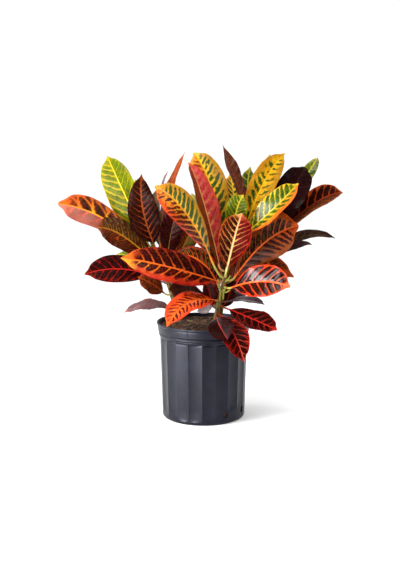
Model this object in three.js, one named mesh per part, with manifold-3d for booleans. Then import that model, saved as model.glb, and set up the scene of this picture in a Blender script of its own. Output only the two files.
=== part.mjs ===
// A croton in its nursery pot: a fluted, blow-moulded black can filled with potting mix, and three
// leaning woody stems that carry broad, glossy leaves on short stalks.
// Millimetres, +Z up. The origin is the centre of the pot's foot, on the ground, and -Y is the front.
import * as THREE from "three";
import { mergeVertices } from "three/addons/utils/BufferGeometryUtils.js";
import Module from "manifold-3d";

const wasm = await Module();
wasm.setup();

// Driving dimensions
const RIM_DIAMETER = 235;
const POT_HEIGHT = 240;
const BODY_TOP_RADIUS = 109; // at the ridges between the flutes, just under the bead
const BODY_FOOT_RADIUS = 103.8;
const WALL = 1.7;
const FLUTES = 20;
const FLUTE_DEPTH = 1.7;
const SEAM_DEG = -20; // the mould's parting line, from the front towards the left
const SOIL_HEIGHT = 231; // at the pot's wall
const SOIL_MOUND = 5; // how much higher the middle is
const FIT_GAP = 0.3; // air between neighbours that touch

const degrees = THREE.MathUtils.degToRad;
const vector = (point) => new THREE.Vector3(...point);

// Materials, one for each finish and each ripeness of leaf
const finish = (color, roughness) => new THREE.MeshStandardMaterial({ color, roughness, metalness: 0 });
const MATERIALS = {
  pot: finish(0x34343a, 0.42),
  soil: finish(0x3a281b, 0.95),
  bark: finish(0x77683c, 0.7),
  lime: finish(0xa8c42a, 0.35),
  gold: finish(0xdb9c14, 0.35),
  orange: finish(0xe0591a, 0.35),
  red: finish(0xb02a1c, 0.35),
  maroon: finish(0x4a1216, 0.35),
  dark: finish(0x2c1212, 0.4),
  olive: finish(0x5c4a1e, 0.4),
};

// A closed geometry from rings of points that all have the same count, with both ends capped by fans.
// Where two rings are joined, flip says whether that strip is cut along its other diagonal.
function loft(rings, flip = () => false) {
  const sides = rings[0].length;
  const position = rings.flat().flatMap((p) => [p.x, p.y, p.z]);
  const index = [];
  for (let j = 0; j + 1 < rings.length; j++)
    for (let i = 0; i < sides; i++) {
      const a = j * sides + i;
      const b = j * sides + ((i + 1) % sides);
      const c = b + sides;
      const d = a + sides;
      index.push(...(flip(i) ? [a, b, d, b, c, d] : [a, b, c, a, c, d]));
    }
  const last = (rings.length - 1) * sides;
  for (let i = 1; i + 1 < sides; i++) {
    index.push(0, i + 1, i);
    index.push(last, last + i, last + i + 1);
  }
  const geometry = new THREE.BufferGeometry();
  geometry.setAttribute("position", new THREE.Float32BufferAttribute(position, 3));
  geometry.setIndex(index);
  return geometry;
}

// A geometry as a manifold-3d solid, for cutting, and back again
function solidOf(geometry) {
  const bare = geometry.clone();
  for (const name of ["normal", "uv"]) bare.deleteAttribute(name);
  const merged = mergeVertices(bare, 1e-4);
  const vertProperties = new Float32Array(merged.attributes.position.array);
  const triVerts = new Uint32Array(merged.index.array);
  return new wasm.Manifold(new wasm.Mesh({ numProp: 3, vertProperties, triVerts }));
}

function geometryOf(solid) {
  const mesh = solid.getMesh();
  const geometry = new THREE.BufferGeometry();
  geometry.setAttribute("position", new THREE.Float32BufferAttribute(mesh.vertProperties, 3));
  geometry.setIndex(Array.from(mesh.triVerts));
  return geometry;
}

// Closes a stack of rings with a point on the axis at each end
function capAtAxis(rings, bottom, top) {
  const steps = rings[0].length;
  const position = rings.flat().flatMap((p) => [p.x, p.y, p.z]);
  const first = position.length / 3;
  position.push(0, 0, bottom, 0, 0, top);
  const index = [];
  for (let j = 0; j + 1 < rings.length; j++)
    for (let i = 0; i < steps; i++) {
      const a = j * steps + i;
      const b = j * steps + ((i + 1) % steps);
      index.push(a, b, b + steps, a, b + steps, a + steps);
    }
  const last = (rings.length - 1) * steps;
  for (let i = 0; i < steps; i++) {
    const next = (i + 1) % steps;
    index.push(first, next, i);
    index.push(first + 1, last + i, last + next);
  }
  const geometry = new THREE.BufferGeometry();
  geometry.setAttribute("position", new THREE.Float32BufferAttribute(position, 3));
  geometry.setIndex(index);
  return geometry;
}

// A point on a circle round the axis; the angle is counted from the front, counter-clockwise from above
const around = (radius, angle, height) =>
  new THREE.Vector3(radius * Math.sin(angle), -radius * Math.cos(angle), height);

// The pot: a profile carried round the axis, whose fluted rows dip between the ridges

const FLUTE_TOP = 204;
const FLUTE_FOOT = 12;
const FLUTE_RUNOUT = 5; // over which a flute sinks to its full depth
const POT_STEPS = 3 * FLUTES;
const DRAIN_HOLES_DEG = [31, 67, 211, 247];
const DRAIN_WIDTH = 14;
const DRAIN_TALL = 18;
const DRAIN_HEIGHT = 25; // of a hole's centre

// [radius, height] of the outside, from the edge of the flat underside to the crest of the lip
const OUTSIDE = [
  [98.5, 0],
  [102.3, 2],
  [BODY_FOOT_RADIUS, 7],
  [BODY_FOOT_RADIUS, FLUTE_FOOT],
  [BODY_FOOT_RADIUS + 0.1, FLUTE_FOOT + FLUTE_RUNOUT],
  [BODY_TOP_RADIUS - 0.1, FLUTE_TOP - FLUTE_RUNOUT],
  [BODY_TOP_RADIUS, FLUTE_TOP],
  [BODY_TOP_RADIUS + 0.5, 207],
  [112, 209.5],
  [112, 213],
  [110.4, 215],
  [113.4, 217.5],
  [114.7, 232],
  [114.3, 234],
  [116.6, 235.5],
  [RIM_DIAMETER / 2, 238],
  [116.4, POT_HEIGHT],
];

// [radius, height] of the inside, from the crest of the lip down to the floor
const INSIDE = [
  [114.2, POT_HEIGHT],
  [112.4, 236.5],
  [BODY_TOP_RADIUS - FLUTE_DEPTH - WALL, 208],
  [BODY_FOOT_RADIUS - FLUTE_DEPTH - WALL, 12],
  [96.5, 4.8],
];
const INSIDE_FLOOR = 5;

// How far the wall is pressed in at this height and angle: a hollow flute between two sharp ridges
function fluteDip(height, angle) {
  const run = Math.min(height - FLUTE_FOOT, FLUTE_TOP - height) / FLUTE_RUNOUT;
  const along = THREE.MathUtils.clamp(run, 0, 1);
  const turns = ((angle - degrees(SEAM_DEG)) * FLUTES) / (2 * Math.PI);
  const across = 2 * (turns - Math.floor(turns)) - 1;
  return FLUTE_DEPTH * along * (1 - across * across);
}

// One ring of points for each row of a profile, all starting at the parting line
function turned(profile, steps, dip = () => 0) {
  const angleOf = (i) => degrees(SEAM_DEG) + (2 * Math.PI * i) / steps;
  const point = (radius, height, angle) => around(radius - dip(height, angle), angle, height);
  const angles = Array.from({ length: steps }, (_, i) => angleOf(i));
  return profile.map(([radius, height]) => angles.map((angle) => point(radius, height, angle)));
}

function potGeometry() {
  const rings = [...turned(OUTSIDE, POT_STEPS, fluteDip), ...turned(INSIDE, POT_STEPS)];
  let solid = solidOf(capAtAxis(rings, OUTSIDE[0][1], INSIDE_FLOOR));
  for (const turn of DRAIN_HOLES_DEG) {
    const drill = new THREE.CylinderGeometry(1, 1, 24, 12).scale(DRAIN_WIDTH / 2, 1, DRAIN_TALL / 2);
    drill.applyMatrix4(new THREE.Matrix4().makeTranslation(0, -BODY_FOOT_RADIUS, DRAIN_HEIGHT));
    drill.applyMatrix4(new THREE.Matrix4().makeRotationZ(degrees(turn)));
    solid = solid.subtract(solidOf(drill));
  }
  return geometryOf(solid);
}

// The stems: each one is a smooth line from its buried foot to its growing tip

const STEMS = {
  front: {
    line: [[16, 20, 150], [30, 15, 235], [41, 12, 292], [52, 8, 340], [66, 8, 400], [80, 8, 462]],
    radii: [8, 4.6],
  },
  left: {
    line: [[-56, 36, 150], [-66, 38, 235], [-80, 42, 300], [-104, 50, 365], [-132, 60, 432]],
    radii: [7.5, 4.4],
  },
  right: {
    line: [[38, 50, 150], [42, 52, 235], [51, 55, 290], [74, 62, 345], [115, 68, 392], [163, 76, 446]],
    radii: [7, 4.4],
  },
};
const STEM_STEPS = 11;
const STEM_SIDES = 9;
const BUD_LENGTH = 14;
const BUD_RADIUS = 0.9;

for (const stem of Object.values(STEMS)) stem.curve = new THREE.CatmullRomCurve3(stem.line.map(vector));

const stemRadius = (stem, share) => THREE.MathUtils.lerp(stem.radii[0], stem.radii[1], share);

// Where the stem's centre line passes this height
function stemAt(stem, height) {
  let low = 0;
  let high = 1;
  for (let halving = 0; halving < 20; halving++) {
    const middle = (low + high) / 2;
    if (stem.curve.getPoint(middle).z < height) low = middle;
    else high = middle;
  }
  const centre = stem.curve.getPoint(low);
  return { centre, along: stem.curve.getTangent(low), radius: stemRadius(stem, low) };
}

function ring(centre, along, radius) {
  const side = new THREE.Vector3(0, 1, 0).cross(along).normalize();
  const other = along.clone().cross(side);
  return Array.from({ length: STEM_SIDES }, (_, i) => {
    const angle = (2 * Math.PI * i) / STEM_SIDES;
    const point = centre.clone().addScaledVector(side, radius * Math.cos(angle));
    return point.addScaledVector(other, radius * Math.sin(angle));
  });
}

function stemGeometry(stem, grown = 0) {
  const rings = Array.from({ length: STEM_STEPS + 1 }, (_, j) => {
    const share = j / STEM_STEPS;
    return ring(stem.curve.getPoint(share), stem.curve.getTangent(share), stemRadius(stem, share) + grown);
  });
  const along = stem.curve.getTangent(1);
  const bud = stem.curve.getPoint(1).addScaledVector(along, BUD_LENGTH);
  return loft([...rings, ring(bud, along, BUD_RADIUS + grown)]);
}

// The potting mix fills the pot, with a lumpy mound on top and a plain hole for each stem

const SOIL_STEPS = 36;
const SOIL_RINGS = 5;

// Height of the surface above the soil line at the wall, for a share of the radius
function soilRise(share, angle) {
  const swell = Math.sin(5 * angle + 3 * share) * Math.sin(9 * share);
  const lumps = swell + 0.6 * Math.sin(11 * angle - 7 * share);
  return SOIL_MOUND * (1 - share * share) + 1.1 * lumps * share * (1 - share ** 6);
}

function soilGeometry() {
  const [, brim, shoulder, heel, foot] = INSIDE.map(([radius, height]) => [radius - FIT_GAP, height]);
  const rise = (SOIL_HEIGHT - shoulder[1]) / (brim[1] - shoulder[1]);
  const edge = THREE.MathUtils.lerp(shoulder[0], brim[0], rise);
  const floor = INSIDE_FLOOR + FIT_GAP;
  const rings = turned([[foot[0], floor], heel, shoulder, [edge, SOIL_HEIGHT]], SOIL_STEPS);
  for (let k = 1; k < SOIL_RINGS; k++) {
    const share = 1 - k / SOIL_RINGS;
    const [flat] = turned([[edge * share, SOIL_HEIGHT]], SOIL_STEPS);
    rings.push(flat.map((p) => p.setZ(p.z + soilRise(share, Math.atan2(p.x, -p.y)))));
  }
  let solid = solidOf(capAtAxis(rings, floor, SOIL_HEIGHT + soilRise(0, 0)));
  for (const stem of Object.values(STEMS)) solid = solid.subtract(solidOf(stemGeometry(stem, FIT_GAP)));
  return geometryOf(solid);
}

// The leaves. Each grows from its stem at the height `at`; the midrib of its blade runs past the
// point `mid` to the point `tip`, the blade is `width` across, and its upper face turns towards
// `looks`. The stalk is `stalk` long, and its first share `spread` stands square to the stem.
// The two halves rise from the midrib by `fold` degrees, and the margins swing by `wave` millimetres.
// The blade is widest at the share `widest` of its length, and a higher `blunt` makes a sharper tip.

const FORM = { stalk: 26, spread: 0.45, fold: 12, wave: 2.5, widest: 0.53, blunt: 0.8 };
const leaf = (name, at, mid, tip, width, looks, colour, form = {}) => {
  return { name: `leaf_${name}`, at, mid, tip, width, looks, colour, ...FORM, ...form };
};

const LEAVES = {
  front: [
    leaf("front_01", 252, [38, -106, 250], [56, -146, 225], 66, [-0.35, -0.6, 1], "dark", {
      fold: 22, wave: 1, widest: 0.68, blunt: 0.6,
    }),
    leaf("front_02", 259, [71, -117, 234], [95, -138, 169], 66, [0.15, -1, 0.5], "maroon", {
      widest: 0.56, blunt: 0.9,
    }),
    leaf("front_03", 278, [125, -70, 256], [176, -105, 239], 64, [0.2, -1, 1], "maroon"),
    leaf("front_04", 289, [108, -2, 294], [151, -20, 285], 50, [0, -0.15, 1], "dark", {
      stalk: 12, wave: 0.8,
    }),
    leaf("front_05", 276, [9, 34, 268], [-17, 50, 255], 30, [0, -1, 0.6], "dark", { stalk: 14, wave: 1 }),
    leaf("front_06", 290, [-41, -75, 297], [-87, -125, 251], 74, [-0.4, -1, 0.8], "orange", {
      stalk: 14, widest: 0.48,
    }),
    leaf("front_07", 326, [140, -70, 351], [205, -110, 344], 88, [0.1, -1, 0.5], "red"),
    leaf("front_08", 336, [-90, -50, 385], [-200, -60, 407], 88, [0, -1, 0.5], "red", {
      stalk: 16, fold: 18, widest: 0.48,
    }),
    leaf("front_09", 288, [-37, 30, 312], [-88, 22, 318], 52, [0, -1, 0.4], "dark", {
      widest: 0.68, blunt: 0.7,
    }),
    leaf("front_10", 344, [153, -18, 442], [230, -42, 482], 104, [0.1, -1, 0.3], "red", {
      stalk: 30, fold: 14, widest: 0.62, blunt: 0.6,
    }),
    leaf("front_11", 338, [140, 6, 376], [227, 20, 348], 84, [0, -1, 0.8], "olive", {
      stalk: 14, widest: 0.42, blunt: 0.7,
    }),
    leaf("front_12", 352, [75, -48, 458], [92, -50, 514], 80, [0.1, -1, 0.2], "red", { stalk: 44 }),
    leaf("front_13", 364, [-2, -10, 542], [-38, 2, 634], 74, [0.95, -1, 0.2], "red", {
      fold: 28, widest: 0.42,
    }),
    leaf("front_14", 348, [-44, -74, 518], [-117, -76, 580], 72, [0.1, -1, 0.2], "gold", {
      stalk: 66, spread: 0.2, widest: 0.6,
    }),
    leaf("front_15", 420, [16, 24, 580], [-26, 50, 657], 84, [0.3, -1, 0.2], "gold"),
    leaf("front_16", 438, [146, 0, 583], [200, 20, 656], 66, [-0.2, -1, 0.2], "gold", { blunt: 1 }),
    leaf("front_17", 450, [170, -54, 527], [226, -60, 586], 72, [-0.65, -1, 0.5], "lime", { fold: 28 }),
    leaf("front_18", 456, [80, -28, 520], [97, -40, 557], 56, [-0.1, -1, 0.3], "lime", { stalk: 14 }),
    leaf("front_19", 270, [16, 9, 305], [5, 6, 346], 35, [0, -1, 0], "dark", { stalk: 14, wave: 1 }),
    leaf("front_20", 350, [24, 48, 430], [-14, 70, 520], 66, [0, -1, 0.5], "dark", { stalk: 14 }),
    leaf("front_21", 324, [-13, 22, 391], [-78, 30, 400], 62, [0, -1, 0.5], "maroon", {
      stalk: 12, widest: 0.46,
    }),
    leaf("back_01", 304, [15, 112, 345], [5, 205, 368], 70, [0, 0.3, 1], "red"),
    leaf("back_02", 338, [5, 125, 462], [-32, 190, 548], 72, [0, -0.6, 1], "lime"),
    leaf("back_03", 414, [78, 100, 523], [69, 170, 601], 66, [0.6, -0.6, 1], "gold"),
  ],
  left: [
    leaf("left_01", 348, [-214, 20, 369], [-296, 0, 358], 72, [0, -1, 0.3], "maroon"),
    leaf("left_02", 388, [-207, 15, 456], [-261, 0, 474], 72, [0, -1, 0.5], "olive", { blunt: 0.5 }),
    leaf("left_03", 404, [-250, 32, 494], [-361, 22, 532], 72, [0.1, -1, 0.4], "maroon", {
      widest: 0.68, blunt: 0.55,
    }),
    leaf("left_04", 420, [-205, 55, 569], [-240, 60, 648], 96, [-0.5, -1, 0], "lime", {
      fold: 15, widest: 0.46,
    }),
    leaf("left_05", 412, [-151, 18, 524], [-152, 18, 606], 78, [-0.1, -1, 0.1], "maroon", {
      widest: 0.4, blunt: 1,
    }),
    leaf("left_06", 392, [-120, 48, 501], [-116, 60, 568], 54, [-0.9, -0.6, 0.2], "olive"),
    leaf("left_07", 430, [-84, 78, 566], [-46, 84, 659], 40, [-0.8, -0.6, 0.3], "orange", {
      widest: 0.4, blunt: 1.1,
    }),
    leaf("left_08", 410, [-112, 126, 535], [-92, 145, 607], 48, [-1, -0.25, 0.2], "maroon"),
    leaf("left_09", 368, [-78, 20, 472], [-54, 20, 541], 60, [0.1, -1, 0.2], "dark"),
    leaf("left_10", 342, [-40, 70, 443], [0, 84, 508], 56, [-0.1, -1, 0.3], "olive"),
    leaf("left_11", 302, [-129, 8, 333], [-163, 0, 351], 62, [0.2, -1, 0.9], "olive"),
    leaf("left_12", 372, [-174, 70, 391], [-224, 95, 397], 56, [0, -0.8, 1], "lime"),
    leaf("left_13", 270, [-145, 22, 276], [-201, 16, 258], 52, [0, -0.35, 1], "maroon", {
      stalk: 8, wave: 2, widest: 0.4,
    }),
    leaf("back_04", 316, [-82, 130, 316], [-68, 215, 292], 66, [0, 0.3, 1], "maroon"),
    leaf("back_05", 354, [-153, 120, 354], [-202, 170, 312], 66, [0, 0.3, 1], "red"),
    leaf("back_06", 380, [-128, 160, 384], [-147, 260, 356], 70, [0, 0.3, 1], "red"),
    leaf("back_07", 408, [-185, 120, 446], [-244, 190, 447], 68, [0, 0.3, 1], "orange"),
    leaf("back_08", 424, [-156, 110, 509], [-178, 150, 587], 62, [-0.2, -1, 0.6], "lime"),
  ],
  right: [
    leaf("right_01", 412, [209, 20, 551], [249, 20, 622], 82, [0, -1, 0.3], "dark", { blunt: 0.5 }),
    leaf("right_02", 440, [253, 92, 587], [290, 100, 644], 36, [-0.4, -1, 0.3], "lime"),
    leaf("right_03", 420, [271, 36, 528], [347, 40, 557], 74, [-0.5, -1, 0.9], "maroon", { fold: 28 }),
    leaf("right_04", 392, [250, 56, 447], [334, 60, 441], 52, [0, -0.35, 1], "dark", { wave: 1 }),
    leaf("right_05", 372, [229, 82, 417], [279, 92, 421], 44, [0, -0.25, 1], "dark", { wave: 1 }),
    leaf("right_06", 436, [80, 62, 586], [47, 60, 677], 50, [0.73, -0.64, 0.23], "maroon", {
      fold: 24, blunt: 1.1,
    }),
    leaf("right_07", 444, [150, 110, 561], [171, 124, 652], 50, [0, -1, 0.2], "lime"),
    leaf("right_08", 402, [160, 2, 471], [218, 4, 491], 72, [0, -1, 0.5], "orange", { blunt: 0.4 }),
    leaf("right_09", 424, [113, 92, 545], [120, 110, 621], 48, [0, -1, 0.2], "lime"),
    leaf("back_09", 306, [80, 78, 301], [111, 92, 286], 48, [0, -1, 0.3], "maroon", {
      stalk: 8, widest: 0.32, blunt: 0.6,
    }),
    leaf("back_10", 356, [155, 150, 391], [223, 230, 405], 70, [0, 0.3, 1], "red"),
    leaf("back_11", 384, [200, 130, 470], [272, 200, 497], 70, [0, 0.3, 1], "orange"),
    leaf("back_12", 428, [199, 130, 523], [251, 190, 570], 64, [0, 0.3, 1], "gold"),
  ],
};

const STALK_RADIUS = 2;
const FOOT_RADIUS = 2.8; // where the stalk spreads against the stem
const TIP_WIDTH = 1.6;
const ACROSS = [-1, -0.5, 0, 0.5, 1];
const HALF_THICKNESS = [0.45, 0.55, 1.1, 0.55, 0.45]; // of the blade, at each place of ACROSS
const ROLL = 0.06; // how far the margins turn down again, as a share of the half width
const BLADE_STATIONS = 8;
const WAVES = 2.3; // swings of a margin from stalk to tip

// The blade's outline, as a share of its full width
function outline(leaf, share) {
  const rise = (leaf.blunt * leaf.widest) / (1 - leaf.widest);
  return (share / leaf.widest) ** rise * ((1 - share) / (1 - leaf.widest)) ** leaf.blunt;
}

// Where a leaf's midrib runs: where it stands on the stem, its stalk, and its blade
function leafLine(stem, leaf) {
  const { centre, along, radius } = stemAt(stem, leaf.at);
  const [mid, tip] = [vector(leaf.mid), vector(leaf.tip)];
  const outward = mid.clone().sub(centre);
  outward.addScaledVector(along, -outward.dot(along)).normalize();
  const foot = centre.addScaledVector(outward, radius + FIT_GAP);
  const bend = foot.clone().addScaledVector(outward, leaf.spread * leaf.stalk);
  const arch = (start) => mid.clone().multiplyScalar(2).addScaledVector(start.clone().add(tip), -0.5);
  const onward = arch(bend).sub(bend).normalize();
  const neck = bend.clone().addScaledVector(onward, (1 - leaf.spread) * leaf.stalk);
  return {
    outward,
    stalk: new THREE.QuadraticBezierCurve3(foot, bend, neck),
    blade: new THREE.QuadraticBezierCurve3(neck, arch(neck), tip),
  };
}

// A place on the line with the directions that the leaf's upper face and its right side look in
function frameOn(centre, tangent, face) {
  const normal = face.clone().addScaledVector(tangent, -face.dot(tangent)).normalize();
  return { centre, normal, right: tangent.clone().cross(normal) };
}

// The points round a section, from the left margin over the upper face and back under the lower one
function section({ centre, normal, right }, place) {
  const point = (k, face) => {
    const [sideways, up] = place(k, face);
    return centre.clone().addScaledVector(right, sideways).addScaledVector(normal, up);
  };
  const upper = ACROSS.map((_, k) => point(k, 1));
  const lower = ACROSS.map((_, k) => point(k, -1)).reverse();
  return [...upper, ...lower];
}

const stalkPlace = (radius) => (k, face) => {
  const angle = degrees(162 - 36 * k);
  return [radius * Math.cos(angle), face * radius * Math.sin(angle)];
};

const bladePlace = (leaf, share) => (k, face) => {
  const across = ACROSS[k];
  const full = share < 1 ? outline(leaf, share) : 0;
  const half = Math.max((leaf.width / 2) * full, TIP_WIDTH / 2);
  const swing = 2 * Math.PI * WAVES * share + leaf.at + 1.9 * Math.sign(across);
  const ripple = leaf.wave * across * across * full * Math.sin(swing);
  const fold = degrees(leaf.fold);
  const rise = half * (Math.abs(across) * Math.sin(fold) - ROLL * across * across) + ripple;
  return [half * across * Math.cos(fold), rise + face * HALF_THICKNESS[k]];
};

function leafGeometry(stem, leaf) {
  const { outward, stalk, blade } = leafLine(stem, leaf);
  const looks = vector(leaf.looks);
  const start = frameOn(stalk.getPoint(0), stalk.getTangent(0.5), looks);
  const sections = [
    section(frameOn(start.centre, outward, start.normal), stalkPlace(FOOT_RADIUS)),
    section(frameOn(stalk.getPoint(0.5), stalk.getTangent(0.5), looks), stalkPlace(STALK_RADIUS)),
    section(frameOn(stalk.getPoint(1), stalk.getTangent(1), looks), stalkPlace(STALK_RADIUS)),
  ];
  for (let j = 1; j <= BLADE_STATIONS; j++) {
    const share = j / BLADE_STATIONS;
    const tangent = blade.getTangent(share);
    sections.push(section(frameOn(blade.getPoint(share), tangent, looks), bladePlace(leaf, share)));
  }
  return loft(sections, (i) => i >= ACROSS.length);
}

// The assembly

const plant = new THREE.Group();

function add(name, geometry, material) {
  const mesh = new THREE.Mesh(geometry, MATERIALS[material]);
  mesh.name = name;
  plant.add(mesh);
}

add("pot", potGeometry(), "pot");
add("potting_mix", soilGeometry(), "soil");
for (const [side, stem] of Object.entries(STEMS)) {
  add(`stem_${side}`, stemGeometry(stem), "bark");
  for (const leaf of LEAVES[side]) add(leaf.name, leafGeometry(stem, leaf), leaf.colour);
}

export default plant;
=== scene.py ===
"""A potted croton: fine leaves, stems, potting mix and a fluted nursery pot over the fixed frame."""

import logging
import math
from dataclasses import dataclass, field, replace
from enum import Enum
from typing import Callable, Optional, Sequence

import bpy
import numpy as np
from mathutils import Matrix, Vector


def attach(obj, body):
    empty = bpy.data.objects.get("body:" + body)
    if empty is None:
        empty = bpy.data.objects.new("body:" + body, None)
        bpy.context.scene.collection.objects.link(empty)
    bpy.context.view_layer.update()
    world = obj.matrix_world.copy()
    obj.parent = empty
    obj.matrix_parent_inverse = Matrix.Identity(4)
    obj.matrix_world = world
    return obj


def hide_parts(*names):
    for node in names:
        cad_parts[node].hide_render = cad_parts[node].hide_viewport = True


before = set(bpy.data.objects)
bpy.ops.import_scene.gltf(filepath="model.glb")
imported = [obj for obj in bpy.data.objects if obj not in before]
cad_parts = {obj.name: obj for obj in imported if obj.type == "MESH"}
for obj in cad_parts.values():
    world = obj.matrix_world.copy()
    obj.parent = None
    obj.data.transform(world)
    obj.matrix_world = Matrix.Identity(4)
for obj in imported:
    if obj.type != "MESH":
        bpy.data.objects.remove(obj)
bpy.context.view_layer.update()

MM = 0.001
LOG = logging.getLogger("croton")
# How far the rows of a leaf's right half are shifted against those of its left one
HALVES_APART = 0.37
Point = tuple[float, float, float]
Shape = tuple[np.ndarray, list[tuple[int, ...]]]


class Pigment(Enum):
    """The colours of the plant and its pot, as red, green and blue from 0 to 255."""

    INK = (30, 7, 4)
    SOOT = (32, 17, 13)
    PLUM = (58, 28, 34)
    # Painted sheen: the grey that glossy leaves mirror at a grazing angle.
    SHEEN_GREY = (98, 80, 86)
    MAROON = (88, 18, 14)
    OXBLOOD = (132, 26, 14)
    CRIMSON = (190, 34, 26)
    VERMILION = (226, 62, 24)
    SALMON = (230, 104, 74)
    CORAL = (224, 66, 54)
    ROSE = (238, 78, 82)
    TANGERINE = (240, 100, 30)
    APRICOT = (246, 166, 92)
    AMBER = (240, 152, 30)
    GOLD = (240, 188, 24)
    HONEY = (222, 166, 18)
    LEMON = (208, 188, 40)
    CREAM = (250, 226, 150)
    PEAR = (168, 150, 16)
    LIME = (134, 134, 10)
    GRASS = (78, 98, 12)
    BOTTLE = (36, 66, 22)
    OLIVE = (112, 98, 40)
    WILLOW = (210, 200, 100)
    BRONZE = (124, 58, 20)
    RUST = (178, 72, 22)
    UMBER = (66, 30, 14)
    OCHRE = (178, 122, 26)
    # Painted sheen, with the next colour: the pinkish grey that glossy leaves mirror at a grazing angle.
    SHEEN_PINK = (152, 84, 70)
    SHEEN_TAUPE = (146, 100, 92)
    TAN = (196, 150, 92)
    EARTH = (98, 66, 34)
    STRAW = (176, 142, 92)
    CHARCOAL = (10, 10, 20)
    LEAD = (33, 34, 51)

    def linear(self) -> tuple[float, float, float, float]:
        """The colour in the terms of a shader.

        Returns:
            Scene-linear red, green, blue and alpha.
        """
        shares = (channel / 255 for channel in self.value)
        red, green, blue = (s / 12.92 if s < 0.04 else ((s + 0.055) / 1.055) ** 2.4 for s in shares)
        return (red, green, blue, 1.0)


# Meshes


def smooth_mesh(name: str, points: np.ndarray, faces: list[tuple[int, ...]]) -> bpy.types.Mesh:
    """A smooth-shaded mesh.

    Args:
        name: the mesh's name.
        points: its vertices in millimetres, one row each.
        faces: corner numbers of each face, counter-clockwise seen from outside.

    Returns:
        The new mesh, in metres.
    """
    mesh = bpy.data.meshes.new(name)
    mesh.from_pydata((points * MM).tolist(), [], faces)
    mesh.polygons.foreach_set("use_smooth", [True] * len(mesh.polygons))
    mesh.update()
    return mesh


def lay_values(mesh: bpy.types.Mesh, **values: np.ndarray) -> None:
    """Writes one number per vertex for each named value, which the finishes read.

    Args:
        mesh: the mesh.
        values: the numbers by name.
    """
    for name, numbers in values.items():
        made = mesh.attributes.new(name, "FLOAT", "POINT")
        made.data.foreach_set("value", np.asarray(numbers, dtype=np.float32).ravel())


def tube_faces(rings: int, sides: int, capped: bool = True) -> list[tuple[int, ...]]:
    """Faces that join rings of points into a tube.

    Args:
        rings: how many rings there are.
        sides: points on each ring.
        capped: whether each end gets a face.

    Returns:
        The corner numbers of each face.
    """
    faces: list[tuple[int, ...]] = []
    for ring in range(rings - 1):
        for side in range(sides):
            here = ring * sides + side
            beside = ring * sides + (side + 1) % sides
            faces.append((here, beside, beside + sides, here + sides))
    if capped:
        faces.append(tuple(range(sides - 1, -1, -1)))
        faces.append(tuple(range((rings - 1) * sides, rings * sides)))
    return faces


def joined(shapes: Sequence[Shape]) -> Shape:
    """Several shapes as one.

    Args:
        shapes: the points and faces of each.

    Returns:
        The points and faces of them all.
    """
    faces: list[tuple[int, ...]] = []
    start = 0
    for points, sides in shapes:
        faces += [tuple(corner + start for corner in side) for side in sides]
        start += len(points)
    return np.vstack([points for points, _ in shapes]), faces


def round_turn(count: int) -> np.ndarray:
    """Angles that are spaced evenly round a circle, in radians."""
    return 2 * math.pi * np.arange(count) / count


def away_from(middle: float, angles: np.ndarray) -> np.ndarray:
    """How far angles are from one angle, the short way round, in radians."""
    return np.abs((angles - middle + math.pi) % (2 * math.pi) - math.pi)


def hoops(side: np.ndarray, ways: np.ndarray, turn: np.ndarray) -> np.ndarray:
    """Circles across a line, with a radius of one and their middles at zero.

    Args:
        side: where each circle starts, one row per circle.
        ways: the line's direction there.
        turn: the angles of a circle's points.

    Returns:
        Points by circle and angle.
    """
    other = np.cross(ways, side)
    return np.cos(turn)[:, None] * side[:, None] + np.sin(turn)[:, None] * other[:, None]


def twig(line: np.ndarray, radii: np.ndarray, sides: int) -> Shape:
    """A thin closed tube.

    Args:
        line: the points that it runs through.
        radii: its radius at each point.
        sides: points on each ring.

    Returns:
        Its points and faces.
    """
    ways = unit(np.gradient(line, axis=0) + 1e-6)
    rings = hoops(unit(np.cross(ways, [0, 0.6, 0.8])), ways, round_turn(sides))
    points = line[:, None] + radii[:, None, None] * rings
    return points.reshape(-1, 3), tube_faces(len(line), sides)


def piece(mesh: bpy.types.Mesh, slot: str, *nodes: str) -> bpy.types.Object:
    """Puts a mesh in the scene as a piece that stands for some nodes of the frame.

    Args:
        mesh: the piece's mesh.
        slot: the name of a material slot; not used.
        nodes: the nodes that it replaces.

    Returns:
        The new object.
    """
    made = bpy.data.objects.new(mesh.name, mesh)
    bpy.context.scene.collection.objects.link(made)
    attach(made, "root")
    if nodes:
        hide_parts(*nodes)
    return made


def unit(vectors: np.ndarray) -> np.ndarray:
    """Each row at length one."""
    return vectors / np.linalg.norm(vectors, axis=-1, keepdims=True)


def ease(low: float, high: float, values: np.ndarray) -> np.ndarray:
    """0 below low, 1 above high and a smooth step between them."""
    share = np.clip((np.asarray(values, dtype=float) - low) / (high - low), 0, 1)
    return share * share * (3 - 2 * share)


# Node trees


def math_method(name: str, swapped: bool = False) -> Callable[..., "Signal"]:
    """A method that makes a math node.

    Args:
        name: the node's operation, such as MULTIPLY.
        swapped: whether the other number comes first.

    Returns:
        The method.
    """

    def made(signal: "Signal", *others: object) -> "Signal":
        """The result of the operation on the signal and the others."""
        values = (*others, signal) if swapped else (signal, *others)
        return signal.tree.math(name, *values)

    return made


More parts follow.
